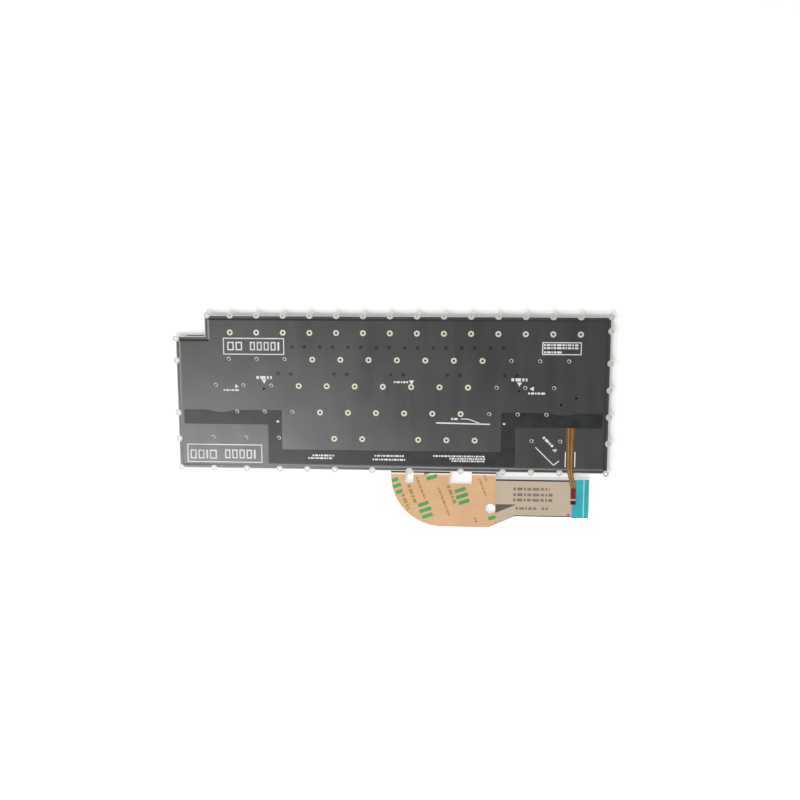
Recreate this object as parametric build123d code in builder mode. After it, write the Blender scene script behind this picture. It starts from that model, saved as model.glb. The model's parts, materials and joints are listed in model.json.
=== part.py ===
from build123d import *
import os
from collections import namedtuple
from functools import lru_cache
from math import asin, atan2, degrees

# Laptop keyboard lying face down: the key tops rest on z = 0 and the back faces up.
# Seen from the back, the function row is at +Y and the keyboard's own left side at +X.
# All sizes are in millimetres.

# Key field
KEY_PITCH_X = 19.05  # spacing of the letter keys along a row
KEY_PITCH_Y = 18.05  # spacing of the rows
LETTER_ROWS = 5
EQUAL_KEYS = 12  # letter-sized keys in the number row
FIRST_KEY_W = 22.3  # field taken by the first key of the number row
LAST_KEY_W = 31.1  # field taken by the last key of the number row
TAB_STAGGER = 0.5  # each row's shift against the number row, in key pitches
CAPS_STAGGER = 0.75
SHIFT_STAGGER = 1.25
CTRL_STAGGER = 0.25
SPACE_PITCHES = 5
ARROW_KEY_W = 22.8
FN_KEY_PITCH = 18.042
FN_ROW_H = 10.55
ESC_KEY_W = 15.0
KEY_GAP = 2.7  # gap between neighbouring keycaps
NARROW_SHARE = 0.7  # a key whose field is lower than this share of a row is narrow

# Keycap
CAP_H = 1.7
CAP_TOP_T = 0.8
CAP_SKIRT_T = 0.9
CAP_CORNER_R = 1.3
CAP_EDGE = 0.25
KEY_TRAVEL = 1.3
KEY_STOP_GAP = 0.5  # left between the skirt and the membrane at the end of the travel

# Rubber domes
DOME_D = 5.2
DOME_TOP_D = 2.8
DOME_WALL = 0.4
DOME_GAP = 0.1  # between the dome and its keycap
NARROW_DOME_GAP = 0.2  # between a narrow key's dome and its links

# Scissor links
LINK_L = 9.0  # between the middles of a link's two end bars
LINK_T = 0.5
LINK_BAR = 0.8
NARROW_BAR = 0.4
LINK_SIDE = 1.0  # between a link and the keycap's skirt
NARROW_SIDE = 0.2
LINK_CLEAR = 0.2  # between the outer and the inner link
LINK_END_CLEAR = 0.1
LINK_WELD = 0.15  # depth to which a fixed key's links join its cap
SPACE_LINK_W = 12.5
SPACE_LINK_X = 24.0  # from the middle of the space bar to each of its links

# Space bar wire
WIRE_D = 0.6
WIRE_END_IN = 5.275  # wire's end in from the space bar's end
WIRE_ARM = 5.9  # from the swing axis to the long bar, across the key
WIRE_PIN_L = 3.4
WIRE_HOOK_IN = 1.9  # middle of a pin's hook in from the wire's end

# Support plate
PLATE_T = 0.4
SIDE_MARGIN = 5.05  # from the key field to the plate's edge
TOP_MARGIN = 2.3
BOTTOM_MARGIN = 2.5
NOTCH_W = 20.1  # room for the power button
NOTCH_H = 14.4
EAR_D = 4.1
SCREW_HOLE_D = 1.5
BOSS_D = 4.0
BOSS_DROP = 0.05  # boss face below the back face
BOSS_RISE = 1.3  # bosses and plain holes above the row borders
CORNER_EAR_IN = 1.05
NOTCH_EAR_IN = 1.6
TOP_SIDE_EAR_RISE = 3.4
SPACE_EAR_X = 12.65
HOOK_W = 2.4
HOOK_T = 0.3
HOOK_LIP = 1.2
HOOK_CLEAR = 0.1

# Membrane circuit and its tail
MEMBRANE_T = 0.3
MEMBRANE_INSET = 1.0
MEMBRANE_HOLE_D = 3.0
HOOK_WINDOW_CLEAR = 0.3
TAIL_REACH = 38.6  # below the plate
TAIL_X = 0.1  # left edge of the tail
TAIL_W = 71.3
TAIL_CORNER_R = 35.0
SLANT_IN = 4.4  # slanting lower edge starts this far inside the tail's right edge
SLANT_OUT = 13.3  # and meets the cable this far outside it
TAIL_HOLE_D = 6.6
TAIL_HOLE_X = 3.5  # hole in from the right edge
TAIL_HOLE_Y = 13.1  # hole up from the lower edge
TAIL_EAR_NOTCH_W = 5.4
TAIL_WIDE_NOTCH_W = 15.0
TAIL_WIDE_NOTCH_X = 47.5
TAIL_NOTCH_DEPTH = 8.4
CABLE_END_IN = 12.05  # cable's end in from the plate's right edge
CABLE_TOP = 4.9  # below the plate
CABLE_W = 25.7

# Tape, liner and stiffener on the tail
ADHESIVE_T = 0.08
LINER_T = 0.12
LINER_TOP = 1.2  # liner's upper edge below the plate
STIFFENER_T = 0.2
STIFFENER_L = 11.2
STIFFENER_OVER = 0.5  # stiffener past the cable's long edges

# Backlight stack
MASK_T = 0.1
GUIDE_T = 0.4
FILM_T = 0.15
FILM_IN = 0.55  # film's edge in from the plate's edge
RIM_FLAT = 1.1
RIM_SLOPE = 1.7
EAR_GAP = 0.25  # between an ear and the film's edge
GUIDE_CLEAR = 0.15
BOSS_WINDOW_D = 4.2
PLAIN_WINDOW_D = 3.0
GUIDE_HOLE_D = 4.4
LOCATING_HOLE_D = 1.6
LOCATING_X = 86.2
LOCATING_DROP = 0.9  # below the third row border
SIDE_HOLES = ((124.05, 5.4), (114.1, 9.85))  # across, and below the third row border

# LED strip, its cover tape and its ribbon
FLEX_T = 0.15
TAPE_T = 0.08
TAPE_MARGIN = 2.2  # tape past the strip
TAPE_FIT = 0.1
TAPE_BAND_Y = 4.0  # tape's lower edge above the plate's lower edge
TAPE_BAND_H = 9.9
TAPE_ARM_Y = 31.2  # arms' lower edge above the plate's lower edge
TAPE_ARM_H = 9.8
TAPE_LEG_X = 74.4
TAPE_LEG_W = 9.4
TAPE_END_IN = 4.55  # arms' ends in from the plate's edge
TAPE_DIP_X = 116.0  # shallow dip in each arm's upper edge
TAPE_DIP_W = 18.0
TAPE_DIP = 1.6
FLEX_HOLE_D = 4.6
RIBBON_IN = 25.45  # ribbon's middle in from the plate's right edge
RIBBON_W = 6.0
RIBBON_NECK_W = 4.2
RIBBON_END_W = 3.4
RIBBON_SHIFT = 2.9  # ribbon's end aside of its start
RIBBON_OUT = 10.4  # end tab's start below the plate
RIBBON_REACH = 21.5  # ribbon's end below the plate
RIBBON_REST_GAP = 0.05
FLEX_STIFFENER_T = 0.2
LED_L = 3.0
LED_W = 0.8
LED_H = 0.5
LED_CLEAR = 0.1
BAND_LEDS = 9
ARM_LEDS = 4
LED_END_IN = 6.0  # outer LEDs in from the ends of their strip

# Levels, from the table up
Z_MEMBRANE = CAP_H + KEY_TRAVEL + KEY_STOP_GAP
Z_PLATE = Z_MEMBRANE + MEMBRANE_T
Z_MASK = Z_PLATE + PLATE_T
Z_GUIDE = Z_MASK + MASK_T
Z_FILM = Z_GUIDE + GUIDE_T
Z_BACK = Z_FILM + FILM_T

# Overall plan, with the origin at the middle of the whole outline
FIELD_W = FIRST_KEY_W + EQUAL_KEYS * KEY_PITCH_X + LAST_KEY_W
side_x = FIELD_W / 2 + SIDE_MARGIN
PLATE_H = TOP_MARGIN + FN_ROW_H + LETTER_ROWS * KEY_PITCH_Y + BOTTOM_MARGIN
PLATE_BOTTOM = (TAIL_REACH - PLATE_H - EAR_D / 2) / 2
PLATE_TOP = PLATE_BOTTOM + PLATE_H
FN_ROW_TOP = PLATE_TOP - TOP_MARGIN
BORDERS = [FN_ROW_TOP - FN_ROW_H - i * KEY_PITCH_Y for i in range(LETTER_ROWS)]

Key = namedtuple("Key", "name x y w h")


def row_of_keys(top, height, names, widths):
    """Keys side by side, from the keyboard's own left edge, which lies at +X."""
    keys = []
    edge = FIELD_W / 2
    for name, width in zip(names, widths):
        keys.append(Key(name, edge - width / 2, top - height / 2, width, height))
        edge -= width
    return keys


def letter_row(border, stagger, names):
    """A row of equal keys between a wide first key and a last key that fills the field."""
    first = FIRST_KEY_W + stagger * KEY_PITCH_X
    equal = [KEY_PITCH_X] * (len(names) - 2)
    widths = [first] + equal + [FIELD_W - first - sum(equal)]
    return row_of_keys(BORDERS[border], KEY_PITCH_Y, names, widths)


def left_sides(keys):
    """The -X side of each key's field."""
    return [key.x - key.w / 2 for key in keys]


fn_names = ["esc"] + [f"f{n}" for n in range(1, 13)] + ["delete"]
fn_widths = [ESC_KEY_W] + [FN_KEY_PITCH] * (len(fn_names) - 1)
FN_ROW = row_of_keys(FN_ROW_TOP, FN_ROW_H, fn_names, fn_widths)
NUMBER_ROW = letter_row(0, 0, ["grave", *"1234567890", "minus", "equal", "backspace"])
UPPER_ROW = letter_row(1, TAB_STAGGER, ["tab", *"qwertyuiop", "open", "close", "slope"])
HOME_ROW = letter_row(2, CAPS_STAGGER, ["caps", *"asdfghjkl", "semicolon", "quote", "enter"])
shift_names = ["left_shift", *"zxcvbnm", "comma", "period", "slash", "right_shift"]
LOWER_ROW = letter_row(3, SHIFT_STAGGER, shift_names)
bottom_names = ["ctrl", "fn", "meta", "alt", "space", "right_alt", "right_ctrl"]
bottom_widths = [FIRST_KEY_W + CTRL_STAGGER * KEY_PITCH_X] + [KEY_PITCH_X] * 3
bottom_widths += [SPACE_PITCHES * KEY_PITCH_X] + [KEY_PITCH_X] * 2
arrow_widths = [ARROW_KEY_W, ARROW_KEY_W]
arrow_widths += [FIELD_W - sum(bottom_widths) - sum(arrow_widths)]
BOTTOM_FIELDS = row_of_keys(
    BORDERS[4], KEY_PITCH_Y, bottom_names + ["left", "up", "right"], bottom_widths + arrow_widths
)
BOTTOM_ROW = BOTTOM_FIELDS[:7]
ARROW_KEYS = [
    Key(f"{key.name}_{half}", key.x, key.y + side * KEY_PITCH_Y / 4, key.w, KEY_PITCH_Y / 2)
    for key in BOTTOM_FIELDS[7:]
    for half, side in (("upper", 1), ("lower", -1))
]
KEYS = FN_ROW + NUMBER_ROW + UPPER_ROW + HOME_ROW + LOWER_ROW + BOTTOM_ROW + ARROW_KEYS

# Keys with a node of their own; the other keys are joined to their links in one group
wide_names = ["space", "enter", "backspace", "tab", "left_shift", "right_shift"]
PRESSED_NAMES = [*"qwertyuiopasdfghjklzxcvbnm1234567890", *wide_names]
PRESSED_KEYS = [key for key in KEYS if key.name in PRESSED_NAMES]
FIXED_KEYS = [key for key in KEYS if key.name not in PRESSED_NAMES]
SPACE_KEY = BOTTOM_ROW[4]

# Screw bosses and plain holes lie just above the row borders, between the keys:
# bosses along the middle of a row, plain holes towards its ends
BOSS_LINES = [border + BOSS_RISE for border in BORDERS]
BOSSES = [(x, BOSS_LINES[0]) for x in left_sides(FN_ROW)]
PLAIN_HOLES = []
for line, row in zip(BOSS_LINES[1:4], (NUMBER_ROW, UPPER_ROW, HOME_ROW)):
    sides = left_sides(row)[:-1]
    BOSSES += [(x, line) for x in sides[3:-3]]
    PLAIN_HOLES += [(x, line) for x in sides[:3] + sides[-3:]]
lower_sides = left_sides(LOWER_ROW)
bottom_sides = left_sides(BOTTOM_FIELDS)
BOSSES += [(x, BOSS_LINES[4]) for x in lower_sides[2:5] + lower_sides[6:8]]
PLAIN_HOLES += [(x, BOSS_LINES[4]) for x in bottom_sides[:2] + bottom_sides[6:9]]

# Screw ears round the plate's edge
EARS = [(x, PLATE_TOP) for x in left_sides(FN_ROW)]
EARS += [(side_x, PLATE_TOP), (NOTCH_W + NOTCH_EAR_IN - side_x, PLATE_TOP)]
EARS += [(-side_x, PLATE_TOP - NOTCH_H - NOTCH_EAR_IN)]
EARS += [(side_x, BORDERS[0] + TOP_SIDE_EAR_RISE)]
EARS += [(side_x, BORDERS[i]) for i in (1, 2, 3, 4)]
EARS += [(-side_x, BORDERS[i]) for i in (1, 3, 4)]
EARS += [(side_x - CORNER_EAR_IN, PLATE_BOTTOM), (CORNER_EAR_IN - side_x, PLATE_BOTTOM)]
EARS += [(x, PLATE_BOTTOM) for x in bottom_sides[:3] + bottom_sides[4:9]]
EARS += [(x, PLATE_BOTTOM) for x in (-SPACE_EAR_X, SPACE_EAR_X, TAIL_WIDE_NOTCH_X)]

locating_y = BORDERS[2] - LOCATING_DROP
LOCATING_HOLES = [(LOCATING_X, locating_y), (-LOCATING_X, locating_y)]
LOCATING_HOLES += [(x, BORDERS[2] - drop) for x, drop in SIDE_HOLES]

# A scissor pair: place, turn about Z, outer width, bar width
Pair = namedtuple("Pair", "x y turn w bar")


def is_narrow(key):
    return key.h < NARROW_SHARE * KEY_PITCH_Y


def cavity(key):
    """The clear width and height inside a keycap's skirt."""
    rim = KEY_GAP + 2 * CAP_SKIRT_T
    return key.w - rim, key.h - rim


def pairs_of(key):
    """A key's scissor pairs: across a narrow key they lie on their side."""
    wide, high = cavity(key)
    if key == SPACE_KEY:
        places = [key.x - SPACE_LINK_X, key.x + SPACE_LINK_X]
        return [Pair(x, key.y, 0, SPACE_LINK_W, LINK_BAR) for x in places]
    if is_narrow(key):
        return [Pair(key.x, key.y, 90, high - 2 * NARROW_SIDE, NARROW_BAR)]
    return [Pair(key.x, key.y, 0, wide - 2 * LINK_SIDE, LINK_BAR)]


def inner_width(pair):
    return pair.w - 2 * pair.bar - 2 * LINK_CLEAR


def at(x, y, turn=0):
    """A place in plan, turned about Z."""
    return Location((x, y, 0), (0, 0, turn))


@lru_cache(maxsize=None)
def keycap(wide, high):
    """A keycap at the origin: a rounded tray that opens upwards."""
    with BuildPart() as cap:
        with BuildSketch():
            RectangleRounded(wide - KEY_GAP, high - KEY_GAP, CAP_CORNER_R)
        extrude(amount=CAP_H)
        chamfer(cap.faces().sort_by(Axis.Z)[0].edges(), length=CAP_EDGE)
        with BuildSketch(Plane.XY.offset(CAP_TOP_T)):
            rim = KEY_GAP + 2 * CAP_SKIRT_T
            RectangleRounded(wide - rim, high - rim, CAP_CORNER_R - CAP_SKIRT_T)
        extrude(amount=CAP_H - CAP_TOP_T, mode=Mode.SUBTRACT)
    return cap.part


@lru_cache(maxsize=None)
def link(width, bar, lean, cap_clear):
    """One scissor link at the origin: a ring that leans from the cap up to the membrane."""
    space = Z_MEMBRANE - CAP_TOP_T - LINK_END_CLEAR - cap_clear
    rise = (space - LINK_T) / (1 + bar / LINK_L)
    middle = (CAP_TOP_T + cap_clear + Z_MEMBRANE - LINK_END_CLEAR) / 2
    tilt = lean * degrees(asin(rise / LINK_L))
    with BuildPart() as ring:
        with BuildSketch(Plane(Location((0, 0, middle), (tilt, 0, 0)))):
            Rectangle(width, LINK_L + bar)
            Rectangle(width - 2 * bar, LINK_L - bar, mode=Mode.SUBTRACT)
        extrude(amount=LINK_T / 2, both=True)
    return ring.part


def outer_links(keys, cap_clear):
    """The outer link of every scissor pair under these keys."""
    return [
        link(pair.w, pair.bar, 1, cap_clear).moved(at(pair.x, pair.y, pair.turn))
        for key in keys
        for pair in pairs_of(key)
    ]


def inner_links(keys, cap_clear):
    """The inner links, which lean the other way."""
    return [
        link(inner_width(pair), pair.bar, -1, cap_clear).moved(at(pair.x, pair.y, pair.turn))
        for key in keys
        for pair in pairs_of(key)
    ]


@lru_cache(maxsize=None)
def fixed_key(wide, high):
    """A key at the origin that is joined to its scissor links."""
    key = Key("fixed", 0, 0, wide, high)
    with BuildPart() as joined:
        add(keycap(wide, high))
        add(outer_links([key], -LINK_WELD) + inner_links([key], -LINK_WELD))
    return joined.part


def plate_outline(inset):
    """The plate's outline with its notch, drawn inside the edge."""
    right = side_x - inset
    top = PLATE_TOP - inset
    bottom = PLATE_BOTTOM + inset
    step_x = NOTCH_W - side_x + inset
    step_y = PLATE_TOP - NOTCH_H - inset
    points = [(-right, bottom), (right, bottom), (right, top)]
    points += [(step_x, top), (step_x, step_y), (-right, step_y)]
    Polygon(*points, align=None)


def cut_circles(places, diameter):
    with Locations(*places):
        Circle(diameter / 2, mode=Mode.SUBTRACT)


def film_outline(inset, ear_clear):
    """The plate's outline, drawn inside the edge and cut out round the ears."""
    plate_outline(inset)
    cut_circles(EARS, EAR_D + 2 * ear_clear)


TAPE_ARM_X = side_x - TAPE_END_IN


def hat_outline(inset):
    """The cover tape's outline: two arms, two legs and the band between them."""
    band_low = PLATE_BOTTOM + TAPE_BAND_Y + inset
    band_high = PLATE_BOTTOM + TAPE_BAND_Y + TAPE_BAND_H - inset
    arm_low = PLATE_BOTTOM + TAPE_ARM_Y + inset
    arm_high = PLATE_BOTTOM + TAPE_ARM_Y + TAPE_ARM_H - inset
    leg_in = TAPE_LEG_X + inset
    leg_out = TAPE_LEG_X + TAPE_LEG_W - inset
    arm_end = TAPE_ARM_X - inset
    half = [(leg_out, band_low), (leg_out, arm_low), (arm_end, arm_low)]
    half += [(arm_end, arm_high), (leg_in, arm_high), (leg_in, band_high)]
    Polygon(*half, *[(-x, y) for x, y in reversed(half)], align=None)


# LEDs along the middle of the strip
band_y = PLATE_BOTTOM + TAPE_BAND_Y + TAPE_BAND_H / 2
arm_y = PLATE_BOTTOM + TAPE_ARM_Y + TAPE_ARM_H / 2
band_span = 2 * (TAPE_LEG_X - LED_END_IN)
arm_span = TAPE_ARM_X - TAPE_LEG_X - 2 * LED_END_IN
LEDS = [(band_span * (i / (BAND_LEDS - 1) - 0.5), band_y) for i in range(BAND_LEDS)]
for side in (-1, 1):
    first_led = TAPE_LEG_X + LED_END_IN
    LEDS += [(side * (first_led + arm_span * i / (ARM_LEDS - 1)), arm_y) for i in range(ARM_LEDS)]


def cut_led_slots():
    with Locations(*LEDS):
        Rectangle(LED_L + 2 * LED_CLEAR, LED_W + 2 * LED_CLEAR, mode=Mode.SUBTRACT)


# Hooks hold the plate end of every link and the pins of the space bar's wire
PAIRS = [pair for key in KEYS for pair in pairs_of(key)]
wire_end = (SPACE_KEY.w - KEY_GAP) / 2 - WIRE_END_IN
WIRE_HOOK_X = wire_end - WIRE_HOOK_IN
WIRE_AXIS_Z = Z_MEMBRANE - LINK_END_CLEAR - WIRE_D / 2
WIRE_BAR_Z = CAP_TOP_T + LINK_END_CLEAR + WIRE_D / 2
full_bar = LINK_T + LINK_BAR * (Z_MEMBRANE - CAP_TOP_T) / LINK_L
HOOK_LIP_Z = Z_MEMBRANE - LINK_END_CLEAR - full_bar - HOOK_CLEAR - HOOK_T


def hook_places():
    """Where each hook's inner face stands, with +Y turned away from what it holds."""
    places = []
    for pair in PAIRS:
        reach = LINK_L / 2 + pair.bar / 2 + HOOK_CLEAR
        middle = at(pair.x, pair.y)
        places += [middle * at(0, 0, pair.turn + turn) * at(0, reach) for turn in (0, 180)]
    wire_y = SPACE_KEY.y - WIRE_D / 2 - HOOK_CLEAR
    places += [at(SPACE_KEY.x + side * WIRE_HOOK_X, wire_y, 180) for side in (-1, 1)]
    return places


HOOK_PLACES = hook_places()
HOOK_WINDOWS = [place * at(0, HOOK_T - HOOK_LIP / 2) for place in HOOK_PLACES]

with BuildPart() as hook:
    with BuildSketch(Plane.YZ):
        lip_y = HOOK_T - HOOK_LIP
        lip_top = HOOK_LIP_Z + HOOK_T
        stem = [(HOOK_T, Z_PLATE), (HOOK_T, HOOK_LIP_Z)]
        lip = [(lip_y, HOOK_LIP_Z), (lip_y, lip_top), (0, lip_top), (0, Z_PLATE)]
        Polygon(*stem, *lip, align=None)
    extrude(amount=HOOK_W / 2, both=True)


# Support plate: sheet with ears, bosses and hooks
with BuildPart() as support_plate:
    with BuildSketch(Plane.XY.offset(Z_PLATE)):
        plate_outline(0)
        with Locations(*EARS):
            Circle(EAR_D / 2)
        cut_circles(EARS + BOSSES + PLAIN_HOLES, SCREW_HOLE_D)
        cut_circles(LOCATING_HOLES, LOCATING_HOLE_D)
    extrude(amount=PLATE_T)
    with BuildSketch(Plane.XY.offset(Z_MASK)):
        with Locations(*BOSSES):
            Circle(BOSS_D / 2)
        cut_circles(BOSSES, SCREW_HOLE_D)
    extrude(amount=Z_BACK - BOSS_DROP - Z_MASK)
    add([hook.part.moved(place) for place in HOOK_PLACES])

# Membrane circuit: the sheet under the plate, in one piece with its tail
tail_low = PLATE_BOTTOM - TAIL_REACH
tail_right = TAIL_X + TAIL_W
cable_top = PLATE_BOTTOM - CABLE_TOP
cable_low = cable_top - CABLE_W
cable_end = side_x - CABLE_END_IN
notch_low = PLATE_BOTTOM - TAIL_NOTCH_DEPTH
slant_y = tail_low + (cable_low - tail_low) * SLANT_IN / (SLANT_IN + SLANT_OUT)


def tail_outline(top):
    """The wide part of the tail below a given level, with its notches and its hole."""
    with BuildLine() as edge:
        Line((TAIL_X, top), (TAIL_X, tail_low + TAIL_CORNER_R))
        corner = (TAIL_X + TAIL_CORNER_R, tail_low)
        TangentArc((TAIL_X, tail_low + TAIL_CORNER_R), corner, tangent=(0, -1))
        Polyline(
            corner,
            (tail_right - SLANT_IN, tail_low),
            (tail_right, slant_y),
            (tail_right, top),
            (TAIL_X, top),
        )
    make_face(edge.edges())
    notch_h = top - notch_low
    for x, width in ((SPACE_EAR_X, TAIL_EAR_NOTCH_W), (TAIL_WIDE_NOTCH_X, TAIL_WIDE_NOTCH_W)):
        with Locations((x, notch_low + notch_h / 2)):
            Rectangle(width, notch_h, mode=Mode.SUBTRACT)
    cut_circles([(tail_right - TAIL_HOLE_X, tail_low + TAIL_HOLE_Y)], TAIL_HOLE_D)


with BuildPart() as membrane_circuit:
    with BuildSketch(Plane.XY.offset(Z_MEMBRANE)):
        plate_outline(MEMBRANE_INSET)
        cut_circles(BOSSES + PLAIN_HOLES + LOCATING_HOLES, MEMBRANE_HOLE_D)
        cut_circles(EARS, EAR_D + 2 * EAR_GAP)
        window_w = HOOK_W + 2 * HOOK_WINDOW_CLEAR
        window_l = HOOK_LIP + 2 * HOOK_WINDOW_CLEAR
        with Locations(*HOOK_WINDOWS):
            Rectangle(window_w, window_l, mode=Mode.SUBTRACT)
    extrude(amount=MEMBRANE_T)
    with BuildSketch(Plane.XY.offset(Z_MEMBRANE)):
        tail_outline(PLATE_BOTTOM + BOTTOM_MARGIN / 2)
        Polygon(
            (tail_right, cable_top),
            (cable_end, cable_top),
            (cable_end, cable_low),
            (tail_right + SLANT_OUT, cable_low),
            (tail_right, slant_y),
            align=None,
        )
    extrude(amount=MEMBRANE_T)

with BuildPart() as tail_adhesive:
    with BuildSketch(Plane.XY.offset(Z_PLATE)):
        tail_outline(PLATE_BOTTOM - LINER_TOP)
    extrude(amount=ADHESIVE_T)

with BuildPart() as tail_liner:
    with BuildSketch(Plane.XY.offset(Z_PLATE + ADHESIVE_T)):
        tail_outline(PLATE_BOTTOM - LINER_TOP)
    extrude(amount=LINER_T)

with BuildPart() as tail_stiffener:
    with BuildSketch(Plane.XY.offset(Z_PLATE)):
        with Locations((cable_end - STIFFENER_L / 2, cable_top - CABLE_W / 2)):
            Rectangle(STIFFENER_L, CABLE_W + 2 * STIFFENER_OVER)
    extrude(amount=STIFFENER_T)

# Mask film and light guide lie on the plate, inside the film's raised field
rim_in = FILM_IN + RIM_FLAT + RIM_SLOPE
cavity_inset = rim_in + FILM_T
guide_inset = cavity_inset + GUIDE_CLEAR
guide_ear_clear = EAR_GAP + FILM_T + GUIDE_CLEAR
with BuildPart() as mask_film:
    with BuildSketch(Plane.XY.offset(Z_MASK)):
        film_outline(guide_inset, guide_ear_clear)
        cut_circles(BOSSES + PLAIN_HOLES, GUIDE_HOLE_D)
        cut_circles(LOCATING_HOLES, LOCATING_HOLE_D)
    extrude(amount=MASK_T)

with BuildPart() as light_guide:
    with BuildSketch(Plane.XY.offset(Z_GUIDE)):
        film_outline(guide_inset, guide_ear_clear)
        cut_circles(BOSSES + PLAIN_HOLES, GUIDE_HOLE_D)
        cut_circles(LOCATING_HOLES, LOCATING_HOLE_D)
        cut_led_slots()
    extrude(amount=GUIDE_T)

# Reflector film: a flat rim on the plate and a raised field with sloping sides
raised = Z_BACK - Z_MASK
with BuildPart() as reflector_film:
    with BuildSketch(Plane.XY.offset(Z_MASK)):
        plate_outline(FILM_IN)
    extrude(amount=FILM_T)
    with BuildSketch(Plane.XY.offset(Z_MASK)):
        plate_outline(FILM_IN + RIM_FLAT)
    extrude(amount=raised, taper=degrees(atan2(RIM_SLOPE, raised)))
    with BuildSketch(Plane.XY.offset(Z_MASK)):
        with Locations(*EARS):
            Circle(EAR_D / 2 + EAR_GAP)
    extrude(amount=raised, mode=Mode.SUBTRACT)
    with BuildSketch(Plane.XY.offset(Z_MASK)):
        film_outline(cavity_inset, EAR_GAP + FILM_T)
    extrude(amount=Z_FILM - Z_MASK, mode=Mode.SUBTRACT)
    with BuildSketch(Plane.XY.offset(Z_FILM)):
        with Locations(*BOSSES):
            Circle(BOSS_WINDOW_D / 2)
        with Locations(*PLAIN_HOLES):
            Circle(PLAIN_WINDOW_D / 2)
        with Locations(*LOCATING_HOLES):
            Circle(LOCATING_HOLE_D / 2)
        with Locations(*LEDS):
            Rectangle(LED_L + 2 * LED_CLEAR, LED_W + 2 * LED_CLEAR)
    extrude(amount=FILM_T, mode=Mode.SUBTRACT)

with BuildPart() as leds:
    with BuildSketch(Plane.XY.offset(Z_BACK - LED_H)):
        with Locations(*LEDS):
            Rectangle(LED_L, LED_W)
    extrude(amount=LED_H)

# LED flex: the strip on the film, and the ribbon that leaves it over the plate's lower edge
arm_low = PLATE_BOTTOM + TAPE_ARM_Y
RIBBON_X = side_x - RIBBON_IN
RIBBON_END_X = RIBBON_X + RIBBON_SHIFT
ribbon_start = arm_low + TAPE_ARM_H / 2
ribbon_edge = PLATE_BOTTOM + rim_in
ribbon_tab = PLATE_BOTTOM - RIBBON_OUT
ribbon_end = PLATE_BOTTOM - RIBBON_REACH
Z_TAB = Z_PLATE + STIFFENER_T + RIBBON_REST_GAP
with BuildPart() as led_flex:
    with BuildSketch(Plane.YZ.offset(RIBBON_X - RIBBON_W)):
        side_line = [(ribbon_start, Z_BACK), (ribbon_edge, Z_BACK)]
        side_line += [(ribbon_tab, Z_TAB), (ribbon_end, Z_TAB)]
        Polygon(*side_line, *[(y, z + FLEX_T) for y, z in reversed(side_line)], align=None)
    extrude(amount=2 * RIBBON_W + RIBBON_SHIFT)
    with BuildSketch():
        Polygon(
            (RIBBON_X - RIBBON_W / 2, ribbon_start),
            (RIBBON_X - RIBBON_W / 2, arm_low),
            (RIBBON_X - RIBBON_NECK_W / 2, ribbon_edge),
            (RIBBON_END_X - RIBBON_END_W / 2, ribbon_tab),
            (RIBBON_END_X - RIBBON_END_W / 2, ribbon_end),
            (RIBBON_END_X + RIBBON_END_W / 2, ribbon_end),
            (RIBBON_END_X + RIBBON_END_W / 2, ribbon_tab),
            (RIBBON_X + RIBBON_NECK_W / 2, ribbon_edge),
            (RIBBON_X + RIBBON_W / 2, arm_low),
            (RIBBON_X + RIBBON_W / 2, ribbon_start),
            align=None,
        )
    extrude(amount=Z_BACK + TAPE_T + FLEX_T, mode=Mode.INTERSECT)
    with BuildSketch(Plane.XY.offset(Z_BACK)):
        hat_outline(TAPE_MARGIN)
        cut_circles(PLAIN_HOLES, FLEX_HOLE_D)
    extrude(amount=FLEX_T)

with BuildPart() as flex_stiffener:
    with BuildSketch(Plane.XY.offset(Z_TAB + FLEX_T)):
        with Locations((RIBBON_END_X, (ribbon_tab + ribbon_end) / 2)):
            Rectangle(RIBBON_END_W, ribbon_tab - ribbon_end)
    extrude(amount=FLEX_STIFFENER_T)

dip_r = (TAPE_DIP_W**2 / 4 + TAPE_DIP**2) / (2 * TAPE_DIP)
dip_y = arm_low + TAPE_ARM_H - TAPE_DIP + dip_r
with BuildPart() as led_cover_tape:
    with BuildSketch(Plane.XY.offset(Z_BACK)):
        hat_outline(0)
        cut_circles(PLAIN_HOLES, PLAIN_WINDOW_D + 2 * TAPE_FIT)
        cut_circles([(-TAPE_DIP_X, dip_y), (TAPE_DIP_X, dip_y)], 2 * dip_r)
    extrude(amount=FLEX_T + TAPE_T)
    with BuildSketch(Plane.XY.offset(Z_BACK)):
        hat_outline(TAPE_MARGIN - TAPE_FIT)
        cut_circles(PLAIN_HOLES, FLEX_HOLE_D - 2 * TAPE_FIT)
        with Locations((RIBBON_X, arm_low + TAPE_MARGIN / 2)):
            Rectangle(RIBBON_W + 2 * TAPE_FIT, TAPE_MARGIN + 2 * TAPE_FIT)
    extrude(amount=FLEX_T, mode=Mode.SUBTRACT)

# Rubber domes: one hollow cone under each key, its wide end on the membrane
dome_h = Z_MEMBRANE - CAP_TOP_T - DOME_GAP


def add_domes(keys, base):
    """Domes under these keys; a narrow key's dome keeps the full dome's proportions."""
    top = DOME_TOP_D * base / DOME_D
    with Locations(*[(key.x, key.y, Z_MEMBRANE - dome_h / 2) for key in keys]):
        Cone(top / 2, base / 2, dome_h)
    hollow_h = dome_h - DOME_WALL
    with Locations(*[(key.x, key.y, Z_MEMBRANE - hollow_h / 2) for key in keys]):
        Cone(top / 2 - DOME_WALL, base / 2 - DOME_WALL, hollow_h, mode=Mode.SUBTRACT)


def narrow_dome(key):
    pair = pairs_of(key)[0]
    return inner_width(pair) - 2 * pair.bar - 2 * NARROW_DOME_GAP


with BuildPart() as rubber_domes:
    add_domes([key for key in KEYS if not is_narrow(key)], DOME_D)
    add_domes(FN_ROW, narrow_dome(FN_ROW[0]))
    add_domes(ARROW_KEYS, narrow_dome(ARROW_KEYS[0]))

# Scissor links of the keys that move
with BuildPart() as scissor_outer_links:
    add(outer_links(PRESSED_KEYS, LINK_END_CLEAR))

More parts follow.
